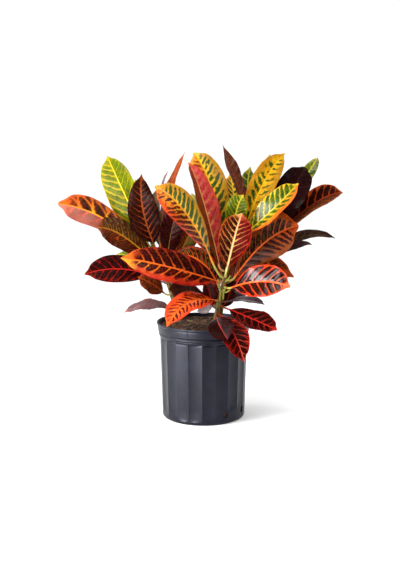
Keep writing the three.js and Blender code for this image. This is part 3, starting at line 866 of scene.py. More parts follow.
DRESSES: dict[str, Dress] = {
    # The grey of the left half's ribs is painted sheen.
    "front_01": dressed(
        DARK, ribs=(P.SHEEN_GREY, P.INK), tips=(P.PLUM, P.INK), hearts=P.SOOT, count=15, fade=0.8, freckles=0.0,
        shine=0.04, midrib_mm=1.4,
    ),
    "front_02": dressed(
        DARK, band=0.09, edges=(P.CRIMSON, P.OXBLOOD), tips=(P.SALMON, P.CRIMSON), rim_mm=(1, 0.5),
        fade=1.3, midrib_mm=1.4, count=9, tip=0.97, fork=0.5,
    ),
    "front_03": dressed(
        DARK, hearts=P.INK, band=0.09, midrib_mm=1.3, fade=1.2, tips=P.CRIMSON, count=7.5, rim_mm=(0.3, 1),
        fork=0.45, wild=0.8,
    ),
    "front_04": dressed(GREY_SHEENED, cells=P.PLUM, hearts=P.SHEEN_GREY),
    "front_05": dressed(GREY_SHEENED, hearts=P.TAN, heart=0.3),
    "front_06": dressed(
        RED, cells=(P.MAROON, P.OXBLOOD), hearts=P.SOOT, band=(0.5, 0.6), close=0.85, specks=0.85, fork=1.2,
        count=13, wild=1.1, tip=0.93, clearing=0.1, shine=0.05,
    ),
    "front_07": dressed(
        RED, ribs=P.VERMILION, band=(0.1, 0.13), midrib_mm=2.2, rim_mm=(3, 2.2), hearts=P.UMBER, count=7.3,
        fork=(0.8, 0.85), close=(1.2, 1.0), shine=0.24, gloss=0.11, stalk=P.WILLOW,
    ),
    "front_08": dressed(
        RED, tips=(P.AMBER, P.TANGERINE), edges=(P.CRIMSON, P.OXBLOOD), hearts=(P.OXBLOOD, P.MAROON),
        heart=0.75, rim_mm=(3, 2), band=(0.14, 0.1), fork=(0.45, 0.85), close=(0.8, 1.15), count=9.5,
        specks=0.5, freckles=0.8, tip=0.86,
    ),
    "front_09": dressed(DARK, ribs=P.UMBER, tips=P.UMBER, cells=P.SOOT, midrib=P.UMBER),
    "front_10": dressed(
        RED, ribs=(P.RUST, P.BRONZE), tips=(P.TANGERINE, P.RUST), edges=P.BRONZE,
        hearts=(P.OLIVE, P.MAROON), shine=0.02, band=(0.12, 0.4), fork=(0.5, 1.2), close=(0.7, 0.85),
        rim_mm=(3, 2), count=11, specks=0.5, midrib_mm=2.0, heart=0.4, stalk=P.WILLOW, wild=0.7,
    ),
    "front_11": dressed(BROWN, ribs=P.TANGERINE, edges=P.RUST, rim_mm=3, hearts=P.RUST),
    "front_12": dressed(
        RED, ribs=P.APRICOT, tips=(P.APRICOT, P.SALMON), edges=(P.RUST, P.CRIMSON), cells=(P.INK, P.MAROON),
        hearts=(P.BRONZE, P.OXBLOOD), midrib=P.CREAM, band=(0.2, 0.14), count=10, midrib_mm=2.3,
        rim_mm=(2, 3), shine=0.02, fork=0.8, fade=0.95, stalk=P.WILLOW, wild=0.9, tip=0.9,
    ),
    "front_13": dressed(
        RED, ribs=(P.RUST, P.APRICOT), tips=(P.VERMILION, P.SALMON), edges=(P.BRONZE, P.CORAL),
        cells=(P.BRONZE, P.ROSE), hearts=(P.RUST, P.CRIMSON), midrib=P.APRICOT, band=(0.16, 0.15), count=11,
        midrib_mm=1.9, heart=0.7, fork=0.4, fade=1.05, tip=0.95, wild=0.9, shine=0.25,
    ),
    "front_14": dressed(
        GOLDEN, ribs=(P.AMBER, P.GOLD), tips=P.AMBER, edges=(P.VERMILION, P.OCHRE),
        cells=(P.UMBER, P.BOTTLE), hearts=(P.OXBLOOD, P.GRASS), midrib=P.AMBER, band=0.34, stalk=P.WILLOW,
        rim_mm=(2, 1.5), close=(1.2, 0.95), count=15, cover=(0.95, 1.25), clearing=0.8, wild=1.0,
        specks=0.4,
    ),
    "front_15": dressed(
        GOLDEN, ribs=(P.AMBER, P.GOLD), tips=(P.AMBER, P.GOLD), edges=(P.AMBER, P.OCHRE),
        cells=(P.BRONZE, P.BOTTLE), hearts=(P.RUST, P.GRASS), band=(0.6, 0.36), close=(0.8, 0.85),
        rim_mm=(2, 1), wild=1.1, count=13,
    ),
    "front_16": dressed(
        GOLDEN, ribs=P.HONEY, tips=P.HONEY, midrib=P.HONEY, shine=0.05, band=(0.42, 0.75),
        cover=(0.65, 0.8), edges=P.OCHRE, close=(0.75, 0.8), clearing=0.2, wild=1.2, rim_mm=1, specks=0.5,
        count=13,
    ),
    "front_17": dressed(
        GOLDEN, ribs=P.LEMON, tips=(P.LEMON, P.TANGERINE), edges=(P.GOLD, P.TANGERINE), cells=P.GRASS,
        hearts=P.BOTTLE, band=(0.18, 0.35), cover=(1.1, 0.9), rim_mm=(1, 5), close=(1.15, 0.8), specks=0.6,
        midrib=P.LEMON, count=10.5, midrib_mm=1.6, wild=1.0, gloss=0.2, shine=0.12, tip=0.95,
    ),
    "front_18": dressed(GREEN, hearts=P.BOTTLE, ribs=P.PEAR, midrib_mm=1.8, count=9, wild=0.8, shine=0.03),
    "front_19": dressed(DARK, ribs=P.OXBLOOD, tips=P.OXBLOOD),
    "front_20": dressed(BROWN, cells=P.SOOT),
    "front_21": dressed(RED, hearts=(P.MAROON, P.OLIVE), edges=P.OXBLOOD, fork=0.7, count=11, heart=0.8),
    "back_01": dressed(RED, stalk=P.UMBER),
    "back_02": dressed(GREEN, stalk=P.OLIVE),
    "back_03": GOLDEN,
    "left_01": dressed(
        DARK, tips=P.OXBLOOD, band=0.07, midrib_mm=1.2, edges=(P.OXBLOOD, P.MAROON), hearts=P.PLUM, count=9,
        wild=0.9, tip=0.96,
    ),
    "left_02": dressed(
        BROWN, midrib=P.OCHRE, ribs=(P.RUST, P.OCHRE), tips=P.BRONZE, fade=0.8, edges=(P.MAROON, P.UMBER),
        hearts=(P.BRONZE, P.OLIVE), midrib_mm=1.8, count=9, cover=(0.8, 0.9),
    ),
    # The left half is painted in the pinkish grey of its sheen, with pale ribs.
    "left_03": dressed(
        BROWN, ribs=(P.SALMON, P.AMBER), tips=(P.SALMON, P.TANGERINE), cells=(P.SHEEN_PINK, P.UMBER),
        midrib=P.AMBER, hearts=(P.SHEEN_TAUPE, P.INK), edges=(P.SHEEN_PINK, P.RUST), band=(0.1, 0.2), count=6.5,
        midrib_mm=1.8, rim_mm=(1, 1.5), fork=0.35, fade=1.15, shine=0.15, tip=0.9,
    ),
    "left_04": dressed(
        GREEN, ribs=P.PEAR, tips=(P.PEAR, P.LIME), shine=0.03, edges=(P.PEAR, P.LIME), band=(0.36, 0.13),
        count=12, heart=0.6, fork=(1.2, 0.6), midrib_mm=2.0, rim_mm=(2, 1), wild=0.8,
    ),
    "left_05": dressed(
        BROWN, cells=P.INK, hearts=(P.UMBER, P.INK), count=12, midrib=P.BRONZE, midrib_mm=1.6, fork=0.7,
        fade=0.95, edges=P.INK, shine=0.02, band=0.09, tips=P.BRONZE, wild=0.6,
    ),
    "left_06": dressed(BROWN, cells=(P.BOTTLE, P.OLIVE), hearts=(P.GRASS, P.UMBER)),
    "left_07": dressed(BROWN, cells=P.BRONZE, hearts=P.RUST, edges=P.BRONZE, shine=0.05),
    "left_08": dressed(GREY_SHEENED, hearts=P.SHEEN_PINK, edges=P.SHEEN_PINK),
    "left_09": dressed(DARK, midrib=P.OLIVE, ribs=P.MAROON, tips=P.MAROON, fade=0.7),
    "left_10": dressed(BROWN, cells=(P.UMBER, P.OLIVE), midrib=P.LIME, hearts=(P.RUST, P.GRASS)),
    "left_11": dressed(BROWN, hearts=P.RUST, stalk=P.CREAM, edges=(P.BRONZE, P.RUST), heart=0.9),
    "left_12": GREEN,
    "left_13": dressed(
        GREY_SHEENED, ribs=P.SHEEN_PINK, tips=(P.SALMON, P.SHEEN_GREY), hearts=P.SHEEN_PINK, edges=(P.PLUM, P.SHEEN_PINK),
    ),
    "back_04": DARK,
    "back_05": RED,
    "back_06": RED,
    "back_07": dressed(BROWN, ribs=P.TANGERINE),
    "back_08": GREEN,
    "right_01": dressed(
        DARK, ribs=P.PLUM, tips=P.SOOT, hearts=P.PLUM, midrib=P.UMBER, edges=P.SOOT, freckles=0.0,
        shine=0.05,
    ),
    "right_02": dressed(GREEN, cells=(P.GRASS, P.BOTTLE)),
    "right_03": dressed(
        DARK, ribs=(P.RUST, P.BRONZE), tips=(P.RUST, P.BRONZE), cells=(P.INK, P.UMBER),
        hearts=(P.MAROON, P.BRONZE), edges=(P.RUST, P.BRONZE), rim_mm=(1, 3), fade=1.2, band=(0.13, 0.1),
    ),
    "right_04": dressed(
        DARK, cells=P.UMBER, hearts=P.SOOT, midrib=P.UMBER, ribs=P.OLIVE, tips=P.SOOT, edges=P.SOOT,
        gloss=0.5,
    ),
    "right_05": dressed(
        DARK, cells=P.PLUM, hearts=P.UMBER, midrib=P.UMBER, ribs=P.UMBER, tips=P.UMBER, gloss=0.5,
    ),
    # The grey and pinkish-grey streaks, and the right half's pinkish-grey ribs and tips, are painted sheen on
    # brown cells.
    "right_06": dressed(
        BROWN, cells=P.BRONZE, hearts=(P.SHEEN_GREY, P.SHEEN_TAUPE), ribs=(P.TANGERINE, P.SHEEN_PINK),
        tips=(P.RUST, P.SHEEN_PINK), heart=0.8, shine=0.5,
    ),
    "right_07": dressed(GREEN, cells=P.BOTTLE, hearts=P.GRASS),
    "right_08": dressed(BROWN, cells=P.RUST, hearts=(P.TANGERINE, P.BRONZE)),
    "right_09": dressed(GREEN, cells=P.BOTTLE, hearts=P.GRASS),
    "back_09": dressed(GREY_SHEENED, cells=P.PLUM),
    "back_10": RED,
    "back_11": dressed(BROWN, ribs=P.TANGERINE),
    "back_12": dressed(GOLDEN, ribs=P.AMBER),
    "young_01": dressed(DARK, hearts=P.UMBER, ribs=P.OXBLOOD),
    "young_02": dressed(DARK, hearts=P.UMBER, ribs=P.OXBLOOD),
    "young_03": dressed(DARK, hearts=P.UMBER, ribs=P.BRONZE),
}


class Tone(Enum):
    """The leaves' main colours, by the names that they hand to piece."""

    DARK = "dark_leaf"
    MAROON = "maroon_leaf"
    RED = "red_leaf"
    ORANGE = "orange_leaf"
    GOLD = "gold_leaf"
    OLIVE = "olive_leaf"
    LIME = "lime_leaf"


@dataclass
class Leaf:
    """One leaf, in millimetres and degrees.

    Attributes:
        name: its name in the frame, without the word leaf.
        at: the height at which it leaves its stem.
        mid: the middle of its blade.
        tip: its tip.
        width: its greatest width.
        looks: the way that its upper side faces.
        tone: its main colour, whose name it hands to piece.
        stalk: the stalk's length.
        spread: how much of the stalk runs straight out before it bends.
        fold: how far each half is folded up.
        wave: the height of the waves at its margin.
        widest: where it is widest, as a share of its length.
        blunt: the power of its outline, which makes the ends blunter where it is low.
        in_frame: whether the frame has a coarse leaf that this one replaces.
    """

    name: str
    at: float
    mid: Point
    tip: Point
    width: float
    looks: Point
    tone: Tone
    stalk: float = 26
    spread: float = 0.45
    fold: float = 12
    wave: float = 2.5
    widest: float = 0.53
    blunt: float = 0.8
    in_frame: bool = True

    FIT_GAP = 0.3
    STALK_RADIUS = 2.4
    FOOT_RADIUS = 2.8
    FOOT_FLARE = 2.5
    TIP_WIDTH = 1.6
    TIP_DRAWN_IN = 0.42
    ROLL = 0.06
    WAVES = 2.3
    WAVE_LAG = 1.9
    QUILT = 1.1
    RIB_LEAN = 0.9
    STALK_RIM = 9.0
    STALK_STATIONS = 12
    BLADE_STATIONS = 78
    HALF_ACROSS = (
        0.0, 0.03, 0.07, 0.13, 0.2, 0.29, 0.38, 0.47, 0.56, 0.65, 0.74, 0.82, 0.89, 0.95, 0.985, 1.0,
    )

    @property
    def across(self) -> np.ndarray:
        """Places from the left margin, -1, to the right one, 1, closer at the midrib and margins."""
        half = np.array(self.HALF_ACROSS)
        return np.concatenate([-half[:0:-1], half])

    @property
    def seed(self) -> float:
        """A number of the leaf's own, from its place."""
        return (self.at * 0.37 + self.mid[0] * 0.11 + self.mid[2] * 0.05) % 7.0

    def outline(self, share: np.ndarray) -> np.ndarray:
        """The blade's width at a share of its length, as a share of its full width."""
        rise = self.blunt * self.widest / (1 - self.widest)
        return (share / self.widest) ** rise * ((1 - share) / (1 - self.widest)) ** self.blunt

    def lines(self, stem: Stem) -> tuple[np.ndarray, ...]:
        """The points that the stalk and the blade bow between.

        Args:
            stem: the stem that the leaf stands on.

        Returns:
            The foot, the stalk's bend, its neck, the blade's pull and its tip.
        """
        centre, way, radius = stem.at(self.at)
        mid, tip = np.array(self.mid, float), np.array(self.tip, float)
        outward = mid - centre
        outward = unit(outward - way * (outward @ way))
        foot = centre + outward * (radius + self.FIT_GAP)
        bend = foot + outward * self.spread * self.stalk
        onward = unit(2 * mid - 0.5 * (bend + tip) - bend)
        neck = bend + onward * (1 - self.spread) * self.stalk
        return foot, bend, neck, 2 * mid - 0.5 * (neck + tip), tip

    def blade(self, share: np.ndarray, length: float) -> tuple[np.ndarray, ...]:
        """The blade as if its midrib were straight.

        Args:
            share: how far along the blade each ring is, as a column.
            length: from the neck to the tip.

        Returns:
            By ring and place: how far right it is, the heights of the upper and the lower side, the
            distances from the midrib and from the margin, and the ribs' rows.
        """
        across, size = self.across, np.abs(self.across)
        full = self.outline(np.clip(share, 0, 1)) * (1 - self.TIP_DRAWN_IN * ease(0.86, 0.96, share))
        half = np.maximum(self.width / 2 * full, self.TIP_WIDTH / 2 * ease(1.0, 0.97, share))
        swing = 2 * math.pi * self.WAVES * share + self.at + self.WAVE_LAG * np.sign(across)
        ripple = self.wave * across**2 * full * np.sin(swing)
        frill = 0.15 * self.wave * size**4 * full * np.sin(3.7 * swing + self.at)
        rows = share - self.RIB_LEAN * self.width / 2 / length * full * size**1.25
        phase = DRESSES[self.name].count * rows + self.seed + np.where(across > 0, HALVES_APART, 0.0)
        swell = np.sqrt(full) * np.abs(np.sin(math.pi * phase)) ** 0.8 * ease(0, 0.15, size) * (1 - size**5)
        quilt = self.QUILT * (swell - 0.5 * full)
        fold = math.radians(self.fold)
        rise = half * (size * math.sin(fold) - self.ROLL * across**2) + ripple + frill + quilt
        reach = half * size
        body = 0.42 - 0.22 * size**6
        keel = np.exp(-((reach / 2.0) ** 2)) * ease(1.05, 0.6, share)
        top, bottom = rise + body + 0.5 * keel, rise - body - 1.0 * keel
        return half * across * math.cos(fold), top, bottom, reach, half - reach, rows

    def sections(self, stem: Stem) -> tuple[np.ndarray, dict[str, np.ndarray]]:
        """The leaf's rings of points, from the stem to the tip.

        Args:
            stem: the stem that the leaf stands on.

        Returns:
            Points by ring and place, and the values that the finish reads.
        """
        foot, bend, neck, pull, tip = self.lines(stem)
        length = np.linalg.norm(tip - neck)
        before = np.linspace(0, 1, self.STALK_STATIONS, endpoint=False)[:, None]
        share = np.linspace(0, 1, self.BLADE_STATIONS)[:, None]
        share = 0.75 * share + 0.25 * ease(0, 1, share)
        centres = np.vstack([bow(foot, bend, neck, before), bow(neck, pull, tip, share)])
        ways = np.vstack([bow_way(foot, bend, neck, before), bow_way(neck, pull, tip, share)])
        looks = np.array(self.looks, float)
        normals = unit(looks - ways * (ways @ looks)[:, None])
        rights = np.cross(ways, normals)
        across = self.across
        x, top, bottom, reach, inward, rows = self.blade(share, length)
        turn = math.pi * (1 - (np.arange(len(across)) + 0.5) / len(across))
        flare = np.exp(-before * self.stalk / self.FOOT_FLARE)
        flare = self.STALK_RADIUS + (self.FOOT_RADIUS - self.STALK_RADIUS) * flare
        merge = ease(0.0, 0.09, share)
        round_x = (1 - merge) * self.STALK_RADIUS * np.cos(turn)
        round_up = (1 - merge) * self.STALK_RADIUS * np.sin(turn)
        sideways = np.vstack([flare * np.cos(turn), merge * x + round_x])
        upper = np.vstack([flare * np.sin(turn), merge * top + round_up])
        lower = np.vstack([-flare * np.sin(turn), merge * bottom - round_up])
        sideways = np.hstack([sideways, sideways[:, ::-1]])
        upward = np.hstack([upper, lower[:, ::-1]])
        points = centres[:, None] + sideways[..., None] * rights[:, None]
        points = points + upward[..., None] * normals[:, None]
        bare, blank = np.zeros((len(before), len(across))), np.zeros((len(share), len(across)))
        values = {
            "side": (bare + across, blank + across),
            "along": (bare + (before - 1) * self.stalk / length, blank + share),
            "rows": (bare, rows),
            "reach": (bare, reach),
            "rim": (bare + self.STALK_RIM, inward + self.STALK_RIM * (1 - merge)),
        }
        laid = {name: np.vstack(parts) for name, parts in values.items()}
        laid = {name: np.hstack([half, half[:, ::-1]]) for name, half in laid.items()}
        laid["under"] = np.hstack([np.zeros_like(upper), np.ones_like(upper)])
        return points, laid

    def build(self, stem: Stem) -> bpy.types.Object:
        """Makes the leaf and dresses it.

        Args:
            stem: the stem that the leaf stands on.

        Returns:
            The leaf's object.
        """
        points, values = self.sections(stem)
        rings, places = points.shape[:2]
        mesh = smooth_mesh(f"foliage_{self.name}", points.reshape(-1, 3), tube_faces(rings, places))
        lay_values(mesh, **values)
        made = piece(mesh, self.tone.value, *([f"leaf_{self.name}"] if self.in_frame else []))
        mesh.materials.append(LeafFinish(f"paint_{self.name}", DRESSES[self.name], self.seed).material())
        LOG.info("%s: %d faces", made.name, len(mesh.polygons))
        return made


FOLIAGE: dict[str, tuple[Leaf, ...]] = {
    "front": (
        Leaf(
            "front_01", 252, (38, -106, 250), (56, -146, 225), 66, (-0.35, -0.6, 1), Tone.DARK, fold=22,
            wave=1, widest=0.68, blunt=0.6,
        ),
        Leaf(
            "front_02", 259, (71, -117, 234), (95, -138, 169), 66, (0.15, -1, 0.5), Tone.MAROON,
            widest=0.56, blunt=0.9,
        ),
        Leaf("front_03", 278, (125, -70, 256), (176, -105, 239), 64, (0.2, -1, 1), Tone.MAROON),
        Leaf(
            "front_04", 289, (108, -2, 294), (151, -20, 285), 50, (0, -0.15, 1), Tone.DARK, stalk=12,
            wave=0.8,
        ),
        Leaf("front_05", 276, (9, 34, 268), (-17, 50, 255), 30, (0, -1, 0.6), Tone.DARK, stalk=14, wave=1),
        Leaf(
            "front_06", 290, (-41, -75, 297), (-87, -125, 251), 74, (-0.4, -1, 0.8), Tone.ORANGE, stalk=14,
            widest=0.48,
        ),
        Leaf("front_07", 326, (140, -70, 351), (205, -110, 344), 88, (0.1, -1, 0.5), Tone.RED),
        Leaf(
            "front_08", 336, (-90, -50, 385), (-200, -60, 407), 88, (0, -1, 0.5), Tone.RED, stalk=16,
            fold=18, widest=0.48,
        ),
        Leaf(
            "front_09", 288, (-37, 30, 312), (-88, 22, 318), 52, (0, -1, 0.4), Tone.DARK, widest=0.68,
            blunt=0.7,
        ),
        Leaf(
            "front_10", 344, (153, -18, 442), (230, -42, 482), 104, (0.1, -1, 0.3), Tone.RED, stalk=30,
            fold=14, widest=0.62, blunt=0.6,
        ),
        Leaf(
            "front_11", 338, (140, 6, 376), (227, 20, 348), 84, (0, -1, 0.8), Tone.OLIVE, stalk=14,
            widest=0.42, blunt=0.7,
        ),
        Leaf("front_12", 352, (75, -48, 458), (92, -50, 514), 80, (0.1, -1, 0.2), Tone.RED, stalk=44),
        Leaf(
            "front_13", 364, (-2, -10, 542), (-38, 2, 634), 74, (0.95, -1, 0.2), Tone.RED, fold=28,
            widest=0.42,
        ),
        Leaf(
            "front_14", 348, (-44, -74, 518), (-117, -76, 580), 72, (0.1, -1, 0.2), Tone.GOLD, stalk=66,
            spread=0.2, widest=0.6,
        ),
        Leaf("front_15", 420, (16, 24, 580), (-26, 50, 657), 84, (0.3, -1, 0.2), Tone.GOLD),
        Leaf("front_16", 438, (146, 0, 583), (200, 20, 656), 66, (-0.2, -1, 0.2), Tone.GOLD, blunt=1),
        Leaf("front_17", 450, (170, -54, 527), (226, -60, 586), 72, (-0.65, -1, 0.5), Tone.LIME, fold=28),
        Leaf("front_18", 456, (80, -28, 520), (97, -40, 557), 56, (-0.1, -1, 0.3), Tone.LIME, stalk=14),
        Leaf("front_19", 270, (16, 9, 305), (5, 6, 346), 35, (0, -1, 0), Tone.DARK, stalk=14, wave=1),
        Leaf("front_20", 350, (24, 48, 430), (-14, 70, 520), 66, (0, -1, 0.5), Tone.DARK, stalk=14),
        Leaf(
            "front_21", 324, (-13, 22, 391), (-78, 30, 400), 62, (0, -1, 0.5), Tone.MAROON, stalk=12,
            widest=0.46,
        ),
        Leaf("back_01", 304, (15, 112, 345), (5, 205, 368), 70, (0, 0.3, 1), Tone.RED),
        Leaf("back_02", 338, (5, 125, 462), (-32, 190, 548), 72, (0, -0.6, 1), Tone.LIME),
        Leaf("back_03", 414, (78, 100, 523), (69, 170, 601), 66, (0.6, -0.6, 1), Tone.GOLD),
        Leaf(
            "young_01", 318, (64, 34, 346), (72, 44, 394), 44, (0, -1, 0.2), Tone.DARK, stalk=9, wave=1,
            in_frame=False,
        ),
        Leaf(
            "young_02", 270, (27, 34, 292), (24, 40, 335), 36, (0, -1, 0.1), Tone.DARK, stalk=9, wave=1,
            in_frame=False,
        ),
        Leaf(
            "young_03", 272, (62, 34, 292), (70, 40, 322), 34, (0, -1, 0.1), Tone.DARK, stalk=9, wave=1,
            in_frame=False,
        ),
    ),
    "left": (
        Leaf("left_01", 348, (-214, 20, 369), (-296, 0, 358), 72, (0, -1, 0.3), Tone.MAROON),
        Leaf("left_02", 388, (-207, 15, 456), (-261, 0, 474), 72, (0, -1, 0.5), Tone.OLIVE, blunt=0.5),
        Leaf(
            "left_03", 404, (-250, 32, 494), (-361, 22, 532), 72, (0.1, -1, 0.4), Tone.MAROON, widest=0.68,
            blunt=0.55,
        ),
        Leaf(
            "left_04", 420, (-205, 55, 569), (-240, 60, 648), 96, (-0.5, -1, 0), Tone.LIME, fold=15,
            widest=0.46,
        ),
        Leaf(
            "left_05", 412, (-151, 18, 524), (-152, 18, 606), 78, (-0.1, -1, 0.1), Tone.MAROON, widest=0.4,
            blunt=1,
        ),
        Leaf("left_06", 392, (-120, 48, 501), (-116, 60, 568), 54, (-0.9, -0.6, 0.2), Tone.OLIVE),
        Leaf(
            "left_07", 430, (-84, 78, 566), (-46, 84, 659), 40, (-0.8, -0.6, 0.3), Tone.ORANGE, widest=0.4,
            blunt=1.1,
        ),
        Leaf("left_08", 410, (-112, 126, 535), (-92, 145, 607), 48, (-1, -0.25, 0.2), Tone.MAROON),
        Leaf("left_09", 368, (-78, 20, 472), (-54, 20, 541), 60, (0.1, -1, 0.2), Tone.DARK),
        Leaf("left_10", 342, (-40, 70, 443), (0, 84, 508), 56, (-0.1, -1, 0.3), Tone.OLIVE),
        Leaf("left_11", 302, (-129, 8, 333), (-163, 0, 351), 62, (0.2, -1, 0.9), Tone.OLIVE),
        Leaf("left_12", 372, (-174, 70, 391), (-224, 95, 397), 56, (0, -0.8, 1), Tone.LIME),
        Leaf(
            "left_13", 270, (-145, 22, 276), (-201, 16, 258), 52, (0, -0.35, 1), Tone.MAROON, stalk=8,
            wave=2, widest=0.4,
        ),
        Leaf("back_04", 316, (-82, 130, 316), (-68, 215, 292), 66, (0, 0.3, 1), Tone.MAROON),
        Leaf("back_05", 354, (-153, 120, 354), (-202, 170, 312), 66, (0, 0.3, 1), Tone.RED),
        Leaf("back_06", 380, (-128, 160, 384), (-147, 260, 356), 70, (0, 0.3, 1), Tone.RED),
        Leaf("back_07", 408, (-185, 120, 446), (-244, 190, 447), 68, (0, 0.3, 1), Tone.ORANGE),
        Leaf("back_08", 424, (-156, 110, 509), (-178, 150, 587), 62, (-0.2, -1, 0.6), Tone.LIME),
    ),
    "right": (
        Leaf("right_01", 412, (209, 20, 551), (249, 20, 622), 82, (0, -1, 0.3), Tone.DARK, blunt=0.5),
        Leaf("right_02", 440, (253, 92, 587), (290, 100, 644), 36, (-0.4, -1, 0.3), Tone.LIME),
        Leaf("right_03", 420, (271, 36, 528), (347, 40, 557), 74, (-0.5, -1, 0.9), Tone.MAROON, fold=28),
        Leaf("right_04", 392, (250, 56, 447), (334, 60, 441), 52, (0, -0.35, 1), Tone.DARK, wave=1),
        Leaf("right_05", 372, (229, 82, 417), (279, 92, 421), 44, (0, -0.25, 1), Tone.DARK, wave=1),
        Leaf(
            "right_06", 436, (80, 62, 586), (47, 60, 677), 50, (0.73, -0.64, 0.23), Tone.MAROON, fold=24,
            blunt=1.1,
        ),
        Leaf("right_07", 444, (150, 110, 561), (171, 124, 652), 50, (0, -1, 0.2), Tone.LIME),
        Leaf("right_08", 402, (160, 2, 471), (218, 4, 491), 72, (0, -1, 0.5), Tone.ORANGE, blunt=0.4),
        Leaf("right_09", 424, (113, 92, 545), (120, 110, 621), 48, (0, -1, 0.2), Tone.LIME),
        Leaf(
            "back_09", 306, (80, 78, 301), (111, 92, 286), 48, (0, -1, 0.3), Tone.MAROON, stalk=8,
            widest=0.32, blunt=0.6,
        ),
        Leaf("back_10", 356, (155, 150, 391), (223, 230, 405), 70, (0, 0.3, 1), Tone.RED),
        Leaf("back_11", 384, (200, 130, 470), (272, 200, 497), 70, (0, 0.3, 1), Tone.ORANGE),
        Leaf("back_12", 428, (199, 130, 523), (251, 190, 570), 64, (0, 0.3, 1), Tone.GOLD),
    ),
}


# The pot


@dataclass(frozen=True)
class PotFinish:
    """Satin black moulded plastic with a faint blue cast, mottled and a little dusty."""

    TINT = (0.75, 0.77, 0.92, 1)

    def material(self) -> bpy.types.Material:
        """Mixes the plastic's clouds and grain.

        Returns:
            The pot's material.
        """
        tree = Tree("moulded_plastic")
        cloud, grain = tree.noise(38, 4), tree.noise(2.2, 4, 2.0)
        colour = tree.blend(cloud.step(0.4, 0.75) * 0.3, Pigment.CHARCOAL, Pigment.LEAD)
        colour = tree.blend(grain.step(0.5, 0.75) * 0.22, colour, Pigment.LEAD)
        rough = tree.between(grain, 0.26, 0.4) + cloud * 0.1
        normal = tree.bump(grain, 0.2, tree.bump(tree.noise(12, 2, 5.0), 0.2))
        return tree.surface(
            colour, Roughness=rough, Normal=normal, Specular_IOR_Level=0.27, Specular_Tint=self.TINT
        )


